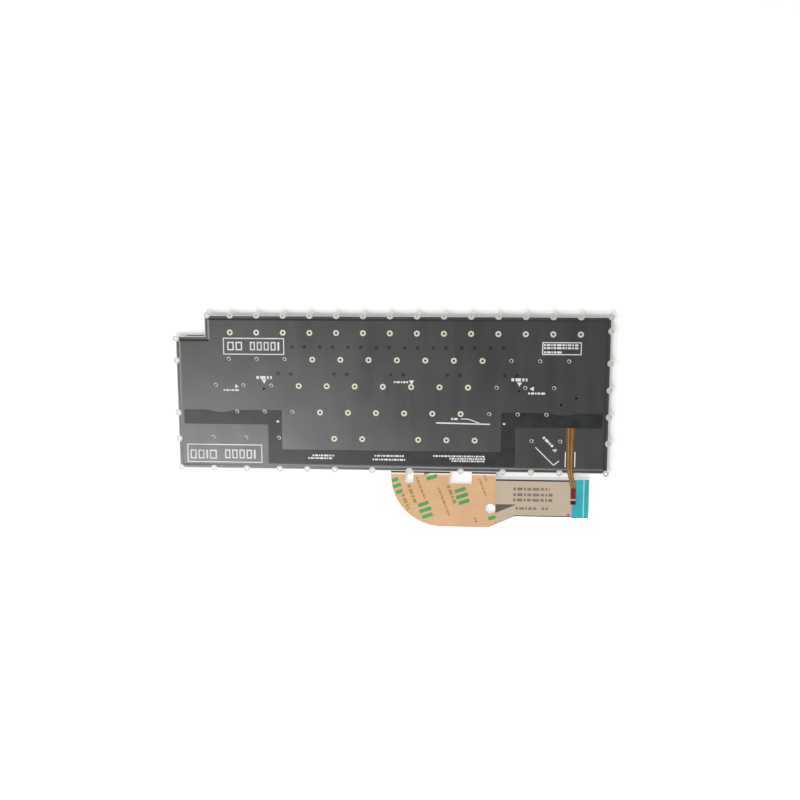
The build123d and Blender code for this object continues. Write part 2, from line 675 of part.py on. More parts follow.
with BuildPart() as scissor_inner_links:
    add(inner_links(PRESSED_KEYS, LINK_END_CLEAR))

# Space bar wire: a long bar under the cap, two arms and two pins in the plate's hooks
wire_bar_y = SPACE_KEY.y + WIRE_ARM
with BuildPart() as space_stabiliser:
    with BuildLine() as wire_path:
        FilletPolyline(
            (SPACE_KEY.x - wire_end + WIRE_PIN_L, SPACE_KEY.y, WIRE_AXIS_Z),
            (SPACE_KEY.x - wire_end, SPACE_KEY.y, WIRE_AXIS_Z),
            (SPACE_KEY.x - wire_end, wire_bar_y, WIRE_BAR_Z),
            (SPACE_KEY.x + wire_end, wire_bar_y, WIRE_BAR_Z),
            (SPACE_KEY.x + wire_end, SPACE_KEY.y, WIRE_AXIS_Z),
            (SPACE_KEY.x + wire_end - WIRE_PIN_L, SPACE_KEY.y, WIRE_AXIS_Z),
            radius=WIRE_D,
        )
    with BuildSketch(Plane(wire_path.line @ 0, z_dir=wire_path.line % 0)):
        Circle(WIRE_D / 2)
    sweep()

# Keys without a node of their own, each joined to its scissor links
with BuildPart() as fixed_keys:
    add([fixed_key(key.w, key.h).moved(at(key.x, key.y)) for key in FIXED_KEYS])

os.makedirs("parts", exist_ok=True)


def write(piece, label):
    piece.label = label
    export_step(piece, f"parts/{label}.step")


write(support_plate.part, "support_plate")
write(membrane_circuit.part, "membrane_circuit")
write(tail_adhesive.part, "tail_adhesive")
write(tail_liner.part, "tail_liner")
write(tail_stiffener.part, "tail_stiffener")
write(mask_film.part, "mask_film")
write(light_guide.part, "light_guide")
write(reflector_film.part, "reflector_film")
write(leds.part, "leds")
write(led_flex.part, "led_flex")
write(flex_stiffener.part, "flex_stiffener")
write(led_cover_tape.part, "led_cover_tape")
write(rubber_domes.part, "rubber_domes")
write(scissor_outer_links.part, "scissor_outer_links")
write(scissor_inner_links.part, "scissor_inner_links")
write(space_stabiliser.part, "space_stabiliser")
write(fixed_keys.part, "fixed_keys")

for key in PRESSED_KEYS:
    with BuildPart() as pressed_key:
        with Locations((key.x, key.y, 0)):
            add(keycap(key.w, key.h))
    write(pressed_key.part, f"key_{key.name}")
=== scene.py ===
import json
import math
import bpy
from mathutils import Matrix, Vector


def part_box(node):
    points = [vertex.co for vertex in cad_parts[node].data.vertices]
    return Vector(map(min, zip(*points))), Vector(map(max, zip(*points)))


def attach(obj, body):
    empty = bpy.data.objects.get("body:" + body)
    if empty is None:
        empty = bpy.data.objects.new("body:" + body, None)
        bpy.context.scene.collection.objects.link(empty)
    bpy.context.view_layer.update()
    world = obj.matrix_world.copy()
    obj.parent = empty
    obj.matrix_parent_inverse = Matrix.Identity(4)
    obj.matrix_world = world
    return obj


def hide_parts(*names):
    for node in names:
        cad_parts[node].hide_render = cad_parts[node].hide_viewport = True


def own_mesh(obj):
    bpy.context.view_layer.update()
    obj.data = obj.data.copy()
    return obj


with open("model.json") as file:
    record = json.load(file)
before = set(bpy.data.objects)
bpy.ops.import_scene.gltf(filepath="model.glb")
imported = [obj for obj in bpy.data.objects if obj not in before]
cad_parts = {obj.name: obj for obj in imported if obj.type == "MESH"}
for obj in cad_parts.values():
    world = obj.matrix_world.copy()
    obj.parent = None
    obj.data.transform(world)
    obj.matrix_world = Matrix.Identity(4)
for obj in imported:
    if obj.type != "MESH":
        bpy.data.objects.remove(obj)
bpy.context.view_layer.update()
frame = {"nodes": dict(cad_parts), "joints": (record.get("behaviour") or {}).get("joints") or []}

bl_info = {
    "name": "Laptop keyboard, face down",
    "version": (1, 0, 0),
    "blender": (4, 5, 0),
    "location": "View3D > Sidebar > Keyboard",
    "description": "Dresses the keyboard: plate, film, print, tail, ribbon, keycaps, domes and links",
    "category": "Object",
}

# Everything is in metres; places on the keyboard are written in millimetres and multiplied by MM.
MM = 0.001
ROOT = "keyboard"
FILM_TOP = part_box("reflector_film")[1].z
TAPE_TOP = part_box("led_cover_tape")[1].z
LINER_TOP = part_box("tail_liner")[1].z
TAIL_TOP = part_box("membrane_circuit")[1].z
# the power button's notch in the film's corner, in mm
NOTCH_W, NOTCH_H = 20.1, 14.4
DOME_LOW, DOME_SEAT = (corner.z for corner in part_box("rubber_domes"))
KEY_BOXES = {name[4:]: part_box(name) for name in frame["nodes"] if name.startswith("key_")}


def linear(hex_colour):
    """An sRGB hex colour as linear red, green, blue and alpha."""
    parts = [int(hex_colour[i : i + 2], 16) / 255 for i in (1, 3, 5)]
    return (*[p / 12.92 if p <= 0.04045 else ((p + 0.055) / 1.055) ** 2.4 for p in parts], 1.0)


def colour_property(name, words, hex_colour):
    return bpy.props.FloatVectorProperty(
        name=name, description=words, subtype="COLOR", size=4, min=0, max=1, default=linear(hex_colour)
    )


def length_property(name, words, millimetres):
    return bpy.props.FloatProperty(
        name=name, description=words, subtype="DISTANCE", unit="LENGTH", min=0, default=millimetres * MM
    )


class KeyboardSizes(bpy.types.PropertyGroup):
    """Sizes of what is printed and laid on the keyboard"""

    ink: length_property("Ink thickness", "How far the print stands above the film", 0.02)
    frame_line: length_property("Frame line", "Width of the printed frames' lines", 0.65)
    sign_line: length_property("Sign line", "Width of the plain signs' lines", 0.8)
    letter: length_property("Letter size", "Legend size on the letter keys", 4.6)
    word: length_property("Word size", "Legend size on the other keys", 2.5)
    legend_depth: length_property("Legend thickness", "Thickness of the keycaps' legends", 0.01)
    floor_gap: length_property("Floor gap", "Floor below the key tops", 0.05)
    floor_side: length_property("Floor side", "Side of the floor", 6000)


class KeyboardColours(bpy.types.PropertyGroup):
    """Colours of the keyboard's surfaces"""

    film: colour_property("Film", "Grey backing film", "#2C2E2C")
    # painted shade of small dents in the film, in two rows of dark spots
    film_dent_shade: colour_property("Film spot", "Painted shade of small dents in the film", "#080B0D")
    tape: colour_property("Tape", "Black tape over the lamps", "#181D20")
    steel: colour_property("Steel", "Plated steel of the ears", "#CFCAC3")
    # dull raw edges of the sheet, and painted shade on the walls of the holes
    cut: colour_property("Cut edge and shade", "Sheared edges of the steel and painted shade in its holes", "#6F6A65")
    boss: colour_property("Boss", "Bare face of the screw bosses", "#DDD2BF")
    membrane: colour_property("Membrane", "Membrane under the plate", "#1E1C1A")
    tail: colour_property("Tail", "Printed side of the tail", "#C3B29C")
    tail_window: colour_property("Tail window", "Bare corner in the tail's print", "#5A5048")
    adhesive: colour_property("Adhesive", "Sticky sheet under the paper", "#E8E0CE")
    liner: colour_property("Liner", "Paper on the tail's adhesive", "#DEB083")
    # painted highlight along the paper's upper edge
    liner_edge_highlight: colour_property("Liner edge highlight", "Painted highlight along the paper's upper edge", "#FFF0D2")
    mark: colour_property("Paper mark", "Broad marks on the paper", "#46A054")
    dash: colour_property("Paper dash", "Thin marks on the paper", "#A88F4E")
    stiffener: colour_property("Stiffener", "End of the tail", "#27AEBA")
    flex: colour_property("Ribbon", "Amber ribbon of the lamps", "#7E541E")
    copper: colour_property("Copper", "Conductors of the ribbon", "#B5823E")
    flex_end: colour_property("Ribbon end", "Stiffened end of the ribbon", "#6E0F19")
    flex_line: colour_property("Ribbon end line", "Line across the ribbon's end", "#E6AAB4")
    flex_tip: colour_property("Ribbon tip", "Last stretch of the ribbon", "#141113")
    ink: colour_property("Ink", "White print on the film", "#E4E7E8")
    tail_ink: colour_property("Tail ink", "Dark print on the tail", "#84766A")
    test_ink: colour_property("Test ink", "Test spot on the tail", "#7A2A2C")
    keycap: colour_property("Keycap", "Moulded keycaps", "#151516")
    legend: colour_property("Legend", "Print on the keycaps", "#DCDDDD")
    rubber: colour_property("Rubber", "Domes under the keys", "#CFCFCA")
    link: colour_property("Link", "Scissor links", "#B9BAB6")
    wire: colour_property("Wire", "Space bar wire", "#C2C2C0")
    mask: colour_property("Mask", "Black film under the light guide", "#0B0B0C")
    guide: colour_property("Light guide", "Clear sheet under the film", "#E6EAEA")
    lamp: colour_property("Lamp", "Phosphor of the small lamps", "#E9D66B")
    floor: colour_property("Floor", "Paper under the keyboard", "#FBFAF8")


def put(tree, kind, inputs=None, **settings):
    """Adds a node with its settings; an input takes a value or another node's output."""
    made = tree.nodes.new(kind)
    for name, value in settings.items():
        setattr(made, name, value)
    for name, value in (inputs or {}).items():
        if isinstance(value, bpy.types.NodeSocket):
            tree.links.new(value, made.inputs[name])
        else:
            made.inputs[name].default_value = value
    return made


def start_material(name):
    """A material with its shader, and Object coordinates in millimetres."""
    made = bpy.data.materials.new(name)
    made.use_nodes = True
    tree = made.node_tree
    tree.nodes.clear()
    shader = put(tree, "ShaderNodeBsdfPrincipled")
    put(tree, "ShaderNodeOutputMaterial", {"Surface": shader.outputs[0]})
    place = put(tree, "ShaderNodeTexCoord").outputs["Object"]
    mm = put(tree, "ShaderNodeMapping", {"Vector": place, "Scale": (1000, 1000, 1000)}).outputs[0]
    return made, tree, shader, mm


def connect(tree, shader, **inputs):
    """Links sockets to the shader's inputs; underscores stand for the spaces in their names."""
    for name, socket in inputs.items():
        tree.links.new(socket, shader.inputs[name.replace("_", " ")])


def from_edge(tree, x, y):
    """How far a place lies inside the film's outline, notch and all, in mm."""
    low, high = (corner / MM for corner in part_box("reflector_film"))
    notch_x, notch_y = low.x + NOTCH_W, high.y - NOTCH_H
    gaps = []
    for value, edge, order in ((x, low.x, 1), (x, high.x, -1), (y, low.y, 1), (y, high.y, -1)):
        pair = {0: value, 1: edge} if order == 1 else {0: edge, 1: value}
        gaps.append(put(tree, "ShaderNodeMath", pair, operation="SUBTRACT").outputs[0])
    beside = put(tree, "ShaderNodeMath", {0: x, 1: notch_x}, operation="SUBTRACT").outputs[0]
    under = put(tree, "ShaderNodeMath", {0: notch_y, 1: y}, operation="SUBTRACT").outputs[0]
    gaps.append(put(tree, "ShaderNodeMath", {0: beside, 1: under}, operation="MAXIMUM").outputs[0])
    nearest = gaps[0]
    for gap in gaps[1:]:
        nearest = put(tree, "ShaderNodeMath", {0: nearest, 1: gap}, operation="MINIMUM").outputs[0]
    return nearest


def film_material(colours):
    """Polyester film, matt-coated: a soft sheen, slightly wavy, with darker spots painted as the shade of
    small dents.
    """
    made, tree, shader, mm = start_material("matt_polyester_film")
    place = put(tree, "ShaderNodeSeparateXYZ", {0: mm})
    x, y = place.outputs[0], place.outputs[1]
    spots = []
    # two rows of paired dark spots, painted shade of small dents: period, middle of a pair, level, left and
    # right end
    pair_half = 4.25
    for period, middle, level, left, right in ((19.05, 13.92, 49.98, -68, 80), (38.1, 4.4, 31.68, -78, 86)):
        shifted = put(tree, "ShaderNodeMath", {0: x, 1: middle}, operation="SUBTRACT").outputs[0]
        around = {0: shifted, 1: period / 2, 2: -period / 2}
        wrapped = put(tree, "ShaderNodeMath", around, operation="WRAP").outputs[0]
        aside = put(tree, "ShaderNodeMath", {0: wrapped}, operation="ABSOLUTE").outputs[0]
        along = put(tree, "ShaderNodeMath", {0: aside, 1: pair_half}, operation="SUBTRACT").outputs[0]
        up = put(tree, "ShaderNodeMath", {0: y, 1: level}, operation="SUBTRACT").outputs[0]
        offset = put(tree, "ShaderNodeCombineXYZ", {0: along, 1: up}).outputs[0]
        distance = put(tree, "ShaderNodeVectorMath", {0: offset}, operation="LENGTH").outputs["Value"]
        spot = put(tree, "ShaderNodeMapRange", {0: distance, 1: 0.3, 2: 1.8, 3: 1, 4: 0}).outputs[0]
        after = put(tree, "ShaderNodeMath", {0: x, 1: left}, operation="GREATER_THAN").outputs[0]
        before = put(tree, "ShaderNodeMath", {0: x, 1: right}, operation="LESS_THAN").outputs[0]
        within = put(tree, "ShaderNodeMath", {0: after, 1: before}, operation="MULTIPLY").outputs[0]
        spots.append(put(tree, "ShaderNodeMath", {0: spot, 1: within}, operation="MULTIPLY").outputs[0])
    dent_shade = put(tree, "ShaderNodeMath", {0: spots[0], 1: spots[1]}, operation="ADD").outputs[0]
    # clouding about 45 mm wide, and streaks about 9 mm wide along the way the film was drawn
    clouds = put(tree, "ShaderNodeTexNoise", {"Vector": mm, "Scale": 1 / 45, "Detail": 3.0}).outputs[0]
    drawn = put(tree, "ShaderNodeMapping", {"Vector": mm, "Scale": (1 / 9, 1 / 70, 1)}).outputs[0]
    streaks = put(tree, "ShaderNodeTexNoise", {"Vector": drawn, "Scale": 1.0, "Detail": 2.0}).outputs[0]
    uneven = put(tree, "ShaderNodeMath", {0: clouds, 1: streaks}, operation="ADD").outputs[0]
    shade = put(tree, "ShaderNodeMapRange", {0: uneven, 1: 0.7, 2: 1.3, 3: 0.8, 4: 1.2}).outputs[0]
    dyed = {0: tuple(colours.film)[:3], "Scale": shade}
    tint = put(tree, "ShaderNodeVectorMath", dyed, operation="SCALE").outputs[0]
    # painted shade: the spots darken the film's colour towards the dent shade
    depth = put(tree, "ShaderNodeMath", {0: dent_shade, 1: 0.8}, operation="MULTIPLY").outputs[0]
    spotted = {0: depth, 6: tint, 7: tuple(colours.film_dent_shade)}
    base = put(tree, "ShaderNodeMix", spotted, data_type="RGBA").outputs[2]
    rough = put(tree, "ShaderNodeMapRange", {0: uneven, 1: 0.7, 2: 1.3, 3: 0.27, 4: 0.33}).outputs[0]
    # the matt coat's grain is finer than a pixel, so it is drawn 0.9 mm wide
    grain = put(tree, "ShaderNodeTexNoise", {"Vector": mm, "Scale": 1 / 0.9, "Detail": 2.0}).outputs[0]
    wave = put(tree, "ShaderNodeTexNoise", {"Vector": mm, "Scale": 1 / 28, "Detail": 1.0}).outputs[0]
    waved = put(tree, "ShaderNodeBump", {"Strength": 0.07, "Distance": 0.002, "Height": wave}).outputs[0]
    grains = {"Strength": 0.12, "Distance": 0.0001, "Height": grain, "Normal": waved}
    normal = put(tree, "ShaderNodeBump", grains).outputs[0]
    # the spots also reflect less, which deepens their painted shade
    dull = put(tree, "ShaderNodeMapRange", {0: dent_shade, 3: 0.5, 4: 0.2}).outputs[0]
    connect(tree, shader, Base_Color=base, Roughness=rough, Normal=normal, Specular_IOR_Level=dull)
    shader.inputs["IOR"].default_value = 1.75
    return made


def tape_material(colours):
    """Black polyester tape: smoother than the film, blotchy where it grips the strip under it."""
    made, tree, shader, mm = start_material("black_polyester_tape")
    blotch = put(tree, "ShaderNodeTexNoise", {"Vector": mm, "Scale": 1 / 7, "Detail": 4.0}).outputs[0]
    shade = put(tree, "ShaderNodeMapRange", {0: blotch, 1: 0.3, 2: 0.7, 3: 0.7, 4: 1.3}).outputs[0]
    dyed = {0: tuple(colours.tape)[:3], "Scale": shade}
    base = put(tree, "ShaderNodeVectorMath", dyed, operation="SCALE").outputs[0]
    rough = put(tree, "ShaderNodeMapRange", {0: blotch, 1: 0.3, 2: 0.7, 3: 0.3, 4: 0.4}).outputs[0]
    normal = put(tree, "ShaderNodeBump", {"Strength": 0.3, "Distance": 0.0001, "Height": blotch}).outputs[0]
    connect(tree, shader, Base_Color=base, Roughness=rough, Normal=normal)
    return made


def steel_material(colours):
    """Zinc-plated sheet steel: pale and satin, boss faces a little warmer; faces that stand upright are
    darker, as dull raw edges and as painted shade in the walls of the holes.
    """
    made, tree, shader, mm = start_material("zinc_plated_steel")
    height = put(tree, "ShaderNodeSeparateXYZ", {0: mm}).outputs[2]
    raised = put(tree, "ShaderNodeMapRange", {0: height, 1: 4.6, 2: 4.7}).outputs[0]
    # zinc spangles about 1.6 mm wide
    spangle = put(tree, "ShaderNodeTexVoronoi", {"Vector": mm, "Scale": 1 / 1.6}).outputs["Color"]
    level = put(tree, "ShaderNodeSeparateColor", {0: spangle}).outputs[0]
    shade = put(tree, "ShaderNodeMapRange", {0: level, 3: 0.9, 4: 1.06}).outputs[0]
    sides = {0: raised, 6: tuple(colours.steel), 7: tuple(colours.boss)}
    plain = put(tree, "ShaderNodeMix", sides, data_type="RGBA").outputs[2]
    faces = put(tree, "ShaderNodeVectorMath", {0: plain, "Scale": shade}, operation="SCALE").outputs[0]
    # faces that stand upright take the darker colour: partly the dull raw edge, partly painted shade in the
    # holes' walls
    facing = put(tree, "ShaderNodeNewGeometry").outputs["Normal"]
    upward = put(tree, "ShaderNodeSeparateXYZ", {0: facing}).outputs[2]
    steep = put(tree, "ShaderNodeMath", {0: upward}, operation="ABSOLUTE").outputs[0]
    flat = put(tree, "ShaderNodeMapRange", {0: steep, 1: 0.5, 2: 0.8}).outputs[0]
    sheared_and_shaded = {0: flat, 6: tuple(colours.cut), 7: faces}
    base = put(tree, "ShaderNodeMix", sheared_and_shaded, data_type="RGBA").outputs[2]
    rough = put(tree, "ShaderNodeMapRange", {0: level, 3: 0.42, 4: 0.55}).outputs[0]
    # rolling marks, drawn 0.5 mm wide
    rolled = put(tree, "ShaderNodeMapping", {"Vector": mm, "Scale": (1 / 12, 1 / 0.5, 1)}).outputs[0]
    marks = put(tree, "ShaderNodeTexNoise", {"Vector": rolled, "Scale": 1.0}).outputs[0]
    normal = put(tree, "ShaderNodeBump", {"Strength": 0.1, "Distance": 0.0001, "Height": marks}).outputs[0]
    metal = put(tree, "ShaderNodeMapRange", {0: raised, 3: 0.4, 4: 0.25}).outputs[0]
    connect(tree, shader, Base_Color=base, Roughness=rough, Normal=normal, Metallic=metal)
    return made


def membrane_material(colours):
    """Printed polyester membrane: dark under the plate, beige on the tail, with fine conductors."""
    made, tree, shader, mm = start_material("printed_polyester_membrane")
    low, high = (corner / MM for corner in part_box("tail_stiffener"))
    place = put(tree, "ShaderNodeSeparateXYZ", {0: mm})
    x, y = place.outputs[0], place.outputs[1]
    # conductors lie 0.5 mm apart along the cable, drawn 1 mm apart so that they show
    ripple = {"Vector": mm, "Scale": 0.314, "Distortion": 0.3}
    lines = put(tree, "ShaderNodeTexWave", ripple, bands_direction="Y").outputs[1]
    cloud = put(tree, "ShaderNodeTexNoise", {"Vector": mm, "Scale": 1 / 14, "Detail": 2.0}).outputs[0]
    both = put(tree, "ShaderNodeMath", {0: lines, 1: cloud}, operation="ADD").outputs[0]
    shade = put(tree, "ShaderNodeMapRange", {0: both, 1: 0.3, 2: 1.6, 3: 0.92, 4: 1.08}).outputs[0]
    dyed = {0: tuple(colours.tail)[:3], "Scale": shade}
    beige = put(tree, "ShaderNodeVectorMath", dyed, operation="SCALE").outputs[0]
    # bare corner of the print: below a level line, above a slanting one, beside the paper
    slope = put(tree, "ShaderNodeMath", {0: x, 1: -0.44}, operation="MULTIPLY").outputs[0]
    above = put(tree, "ShaderNodeMath", {0: y, 1: slope}, operation="ADD").outputs[0]
    over = put(tree, "ShaderNodeMapRange", {0: above, 1: -94.55, 2: -94.15}).outputs[0]
    under = put(tree, "ShaderNodeMapRange", {0: y, 1: -56.9, 2: -56.6, 3: 1, 4: 0}).outputs[0]
    corner = put(tree, "ShaderNodeMath", {0: over, 1: under}, operation="MULTIPLY").outputs[0]
    bare_span = {0: x, 1: 77.5, 2: 8.5}
    near = put(tree, "ShaderNodeMath", bare_span, operation="COMPARE").outputs[0]
    bare = put(tree, "ShaderNodeMath", {0: corner, 1: near}, operation="MULTIPLY").outputs[0]
    cornered = {0: bare, 6: beige, 7: tuple(colours.tail_window)}
    printed = put(tree, "ShaderNodeMix", cornered, data_type="RGBA").outputs[2]
    # dark margins along the cable's two edges, and the whole sheet under the plate
    upper = put(tree, "ShaderNodeMapRange", {0: y, 1: high.y - 1.7, 2: high.y - 1.4}).outputs[0]
    lower = put(tree, "ShaderNodeMapRange", {0: y, 1: low.y + 1.1, 2: low.y + 1.3, 3: 1, 4: 0}).outputs[0]
    beyond = put(tree, "ShaderNodeMath", {0: x, 1: 84.0}, operation="GREATER_THAN").outputs[0]
    foot = put(tree, "ShaderNodeMath", {0: lower, 1: beyond}, operation="MULTIPLY").outputs[0]
    dark = put(tree, "ShaderNodeMath", {0: upper, 1: foot}, operation="MAXIMUM").outputs[0]
    margined = {0: dark, 6: printed, 7: tuple(colours.membrane)}
    base = put(tree, "ShaderNodeMix", margined, data_type="RGBA").outputs[2]
    normal = put(tree, "ShaderNodeBump", {"Strength": 0.15, "Distance": 0.0001, "Height": lines}).outputs[0]
    connect(tree, shader, Base_Color=base, Normal=normal)
    shader.inputs["Roughness"].default_value = 0.45
    return made


def paper_material(colours):
    """Coated kraft paper: tan fibres under a thin satin coat, with a painted highlight along its upper edge.
    """
    made, tree, shader, mm = start_material("coated_kraft_paper")
    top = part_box("tail_liner")[1].y / MM
    y = put(tree, "ShaderNodeSeparateXYZ", {0: mm}).outputs[1]
    # fibres about 3 mm long and 0.6 mm wide
    combed = put(tree, "ShaderNodeMapping", {"Vector": mm, "Scale": (1 / 3, 1 / 0.6, 1)}).outputs[0]
    fibres = put(tree, "ShaderNodeTexNoise", {"Vector": combed, "Scale": 1.0, "Detail": 4.0}).outputs[0]
    cloud = put(tree, "ShaderNodeTexNoise", {"Vector": mm, "Scale": 1 / 11, "Detail": 2.0}).outputs[0]
    both = put(tree, "ShaderNodeMath", {0: fibres, 1: cloud}, operation="ADD").outputs[0]
    shade = put(tree, "ShaderNodeMapRange", {0: both, 1: 0.7, 2: 1.3, 3: 0.9, 4: 1.08}).outputs[0]
    dyed = {0: tuple(colours.liner)[:3], "Scale": shade}
    tan = put(tree, "ShaderNodeVectorMath", dyed, operation="SCALE").outputs[0]
    # painted highlight: the paper lightens towards its upper edge
    edge = put(tree, "ShaderNodeMapRange", {0: y, 1: top - 1.5, 2: top - 0.6}).outputs[0]
    edge_highlighted = {0: edge, 6: tan, 7: tuple(colours.liner_edge_highlight)}
    base = put(tree, "ShaderNodeMix", edge_highlighted, data_type="RGBA").outputs[2]
    normal = put(tree, "ShaderNodeBump", {"Strength": 0.2, "Distance": 0.0001, "Height": fibres}).outputs[0]
    connect(tree, shader, Base_Color=base, Normal=normal)
    shader.inputs["Roughness"].default_value = 0.5
    shader.inputs["Coat Weight"].default_value = 0.1
    return made


def stiffener_material(colours):
    """Dyed polyester stiffener: turquoise, with one pale line across near its end."""
    made, tree, shader, mm = start_material("dyed_polyester_stiffener")
    line_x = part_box("tail_stiffener")[1].x / MM - 3.4
    x = put(tree, "ShaderNodeSeparateXYZ", {0: mm}).outputs[0]
    off = put(tree, "ShaderNodeMath", {0: x, 1: line_x}, operation="SUBTRACT").outputs[0]
    away = put(tree, "ShaderNodeMath", {0: off}, operation="ABSOLUTE").outputs[0]
    line = put(tree, "ShaderNodeMapRange", {0: away, 1: 0.2, 2: 0.45, 3: 0.7, 4: 0}).outputs[0]
    cloud = put(tree, "ShaderNodeTexNoise", {"Vector": mm, "Scale": 1 / 8, "Detail": 2.0}).outputs[0]
    shade = put(tree, "ShaderNodeMapRange", {0: cloud, 1: 0.3, 2: 0.7, 3: 0.88, 4: 1.1}).outputs[0]
    dyed = {0: tuple(colours.stiffener)[:3], "Scale": shade}
    blue = put(tree, "ShaderNodeVectorMath", dyed, operation="SCALE").outputs[0]
    lined = {0: line, 6: blue, 7: tuple(colours.ink)}
    base = put(tree, "ShaderNodeMix", lined, data_type="RGBA").outputs[2]
    connect(tree, shader, Base_Color=base)
    shader.inputs["Roughness"].default_value = 0.35
    return made


def ribbon_material(colours):
    """Polyimide film: amber, slightly see-through, smooth."""
    made, tree, shader, mm = start_material("amber_polyimide")
    cloud = put(tree, "ShaderNodeTexNoise", {"Vector": mm, "Scale": 1 / 5, "Detail": 2.0}).outputs[0]
    shade = put(tree, "ShaderNodeMapRange", {0: cloud, 1: 0.3, 2: 0.7, 3: 0.85, 4: 1.15}).outputs[0]
    dyed = {0: tuple(colours.flex)[:3], "Scale": shade}
    base = put(tree, "ShaderNodeVectorMath", dyed, operation="SCALE").outputs[0]
    connect(tree, shader, Base_Color=base)
    shader.inputs["Roughness"].default_value = 0.3
    shader.inputs["IOR"].default_value = 1.7
    shader.inputs["Alpha"].default_value = 0.8
    return made


def ribbon_end_material(colours):
    """Painted stiffener of the ribbon: dark red, then a pink line and a black tip."""
    made, tree, shader, mm = start_material("painted_ribbon_end")
    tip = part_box("flex_stiffener")[0].y / MM
    y = put(tree, "ShaderNodeSeparateXYZ", {0: mm}).outputs[1]
    weave = put(tree, "ShaderNodeTexNoise", {"Vector": mm, "Scale": 1 / 0.8, "Detail": 2.0}).outputs[0]
    shade = put(tree, "ShaderNodeMapRange", {0: weave, 1: 0.3, 2: 0.7, 3: 0.8, 4: 1.2}).outputs[0]
    dyed = {0: tuple(colours.flex_end)[:3], "Scale": shade}
    red = put(tree, "ShaderNodeVectorMath", dyed, operation="SCALE").outputs[0]
    below = put(tree, "ShaderNodeMapRange", {0: y, 1: tip + 3.7, 2: tip + 3.9, 3: 1, 4: 0}).outputs[0]
    lined = {0: below, 6: red, 7: tuple(colours.flex_line)}
    line = put(tree, "ShaderNodeMix", lined, data_type="RGBA").outputs[2]
    last = put(tree, "ShaderNodeMapRange", {0: y, 1: tip + 2.7, 2: tip + 2.9, 3: 1, 4: 0}).outputs[0]
    tipped = {0: last, 6: line, 7: tuple(colours.flex_tip)}
    base = put(tree, "ShaderNodeMix", tipped, data_type="RGBA").outputs[2]
    connect(tree, shader, Base_Color=base)
    shader.inputs["Roughness"].default_value = 0.35
    return made


def even_material(name, colour, grit, roughness, metal=0.0):
    """A moulded, cast or printed surface: one dye, mild clouding and a texture of the given grit in mm."""
    made, tree, shader, mm = start_material(name)
    cloud = put(tree, "ShaderNodeTexNoise", {"Vector": mm, "Scale": 1 / 12, "Detail": 2.0}).outputs[0]
    shade = put(tree, "ShaderNodeMapRange", {0: cloud, 1: 0.3, 2: 0.7, 3: 0.88, 4: 1.12}).outputs[0]
    dyed = {0: tuple(colour)[:3], "Scale": shade}
    base = put(tree, "ShaderNodeVectorMath", dyed, operation="SCALE").outputs[0]
    pits = put(tree, "ShaderNodeTexNoise", {"Vector": mm, "Scale": 1 / grit, "Detail": 2.0}).outputs[0]
    spread = {0: pits, 1: 0.3, 2: 0.7, 3: roughness - 0.06, 4: roughness + 0.06}
    rough = put(tree, "ShaderNodeMapRange", spread).outputs[0]
    normal = put(tree, "ShaderNodeBump", {"Strength": 0.15, "Distance": 0.0001, "Height": pits}).outputs[0]
    connect(tree, shader, Base_Color=base, Roughness=rough, Normal=normal)
    shader.inputs["Metallic"].default_value = metal
    return made


def paint(node, material):
    """Gives a CAD node its finish."""
    slots = frame["nodes"][node].data.materials
    slots.clear()
    slots.append(material)


def start_piece(name):
    """An empty mesh at the origin, in edit mode, with nothing else selected."""
    bpy.ops.object.select_all(action="DESELECT")
    piece = bpy.data.objects.new(name, bpy.data.meshes.new(name))
    bpy.context.scene.collection.objects.link(piece)
    bpy.context.view_layer.objects.active = piece
    piece.select_set(True)
    bpy.ops.object.mode_set(mode="EDIT")
    return piece


def end_piece(piece, material, body=ROOT):
    """Leaves edit mode, gives the piece its finish and sets it on its body."""
    bpy.ops.mesh.select_all(action="SELECT")
    bpy.ops.mesh.normals_make_consistent(inside=False)
    bpy.ops.object.mode_set(mode="OBJECT")
    piece.data.materials.append(material)
    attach(piece, body)


def middle_of(piece):
    """The middle of a mesh that lies unmoved in the frame."""
    return sum((Vector(corner) for corner in piece.bound_box), Vector()) / 8


def add_bar(x, y, length, width, base, thick, turn=0.0):
    """A flat bar on the level base; x, y, length and width in mm, turn in degrees."""
    bpy.ops.mesh.primitive_cube_add(
        size=1,
        location=(x * MM, y * MM, base + thick / 2),
        rotation=(0, 0, math.radians(turn)),
        scale=(length * MM, width * MM, thick),
    )


def add_stroke(start, end, width, base, thick):
    """A flat bar from one point to another, in mm."""
    run = Vector(end) - Vector(start)
    middle = (Vector(end) + Vector(start)) / 2
    add_bar(middle.x, middle.y, run.length, width, base, thick, math.degrees(math.atan2(run.y, run.x)))


def add_words(x, y, length, height, base, thick, turn=0.0):
    """A row of short bars of uneven length that stands for a line of small print."""
    along = Vector((math.cos(math.radians(turn)), math.sin(math.radians(turn))))
    shares = (2, 4, 1.5, 3, 5, 2.5, 1.5, 4)
    gap = height * 0.45
    at = -length / 2
    step = 0
    while at < length / 2 - 0.3 * height:
        size = min(shares[step % len(shares)] * height * 0.45, length / 2 - at)
        middle = Vector((x, y)) + along * (at + size / 2)
        add_bar(middle.x, middle.y, size, height, base, thick, turn)
        at += size + gap
        step += 1


def add_box_line(x, y, length, height, line, base, thick):
    """A rectangle drawn with a line: four bars that meet at the corners."""
    for side in (-1, 1):
        add_bar(x, y + side * (height - line) / 2, length, line, base, thick)
        add_bar(x + side * (length - line) / 2, y, line, height - 2 * line, base, thick)


def add_pointer(x, y, side, turn, base, thick):
    """A solid triangle that points the way of turn, in degrees from +X."""
    bpy.ops.mesh.primitive_cylinder_add(
        vertices=3,
        radius=side * MM / math.sqrt(3),
        depth=thick,
        location=(x * MM, y * MM, base + thick / 2),
        rotation=(0, 0, math.radians(turn - 90)),
    )


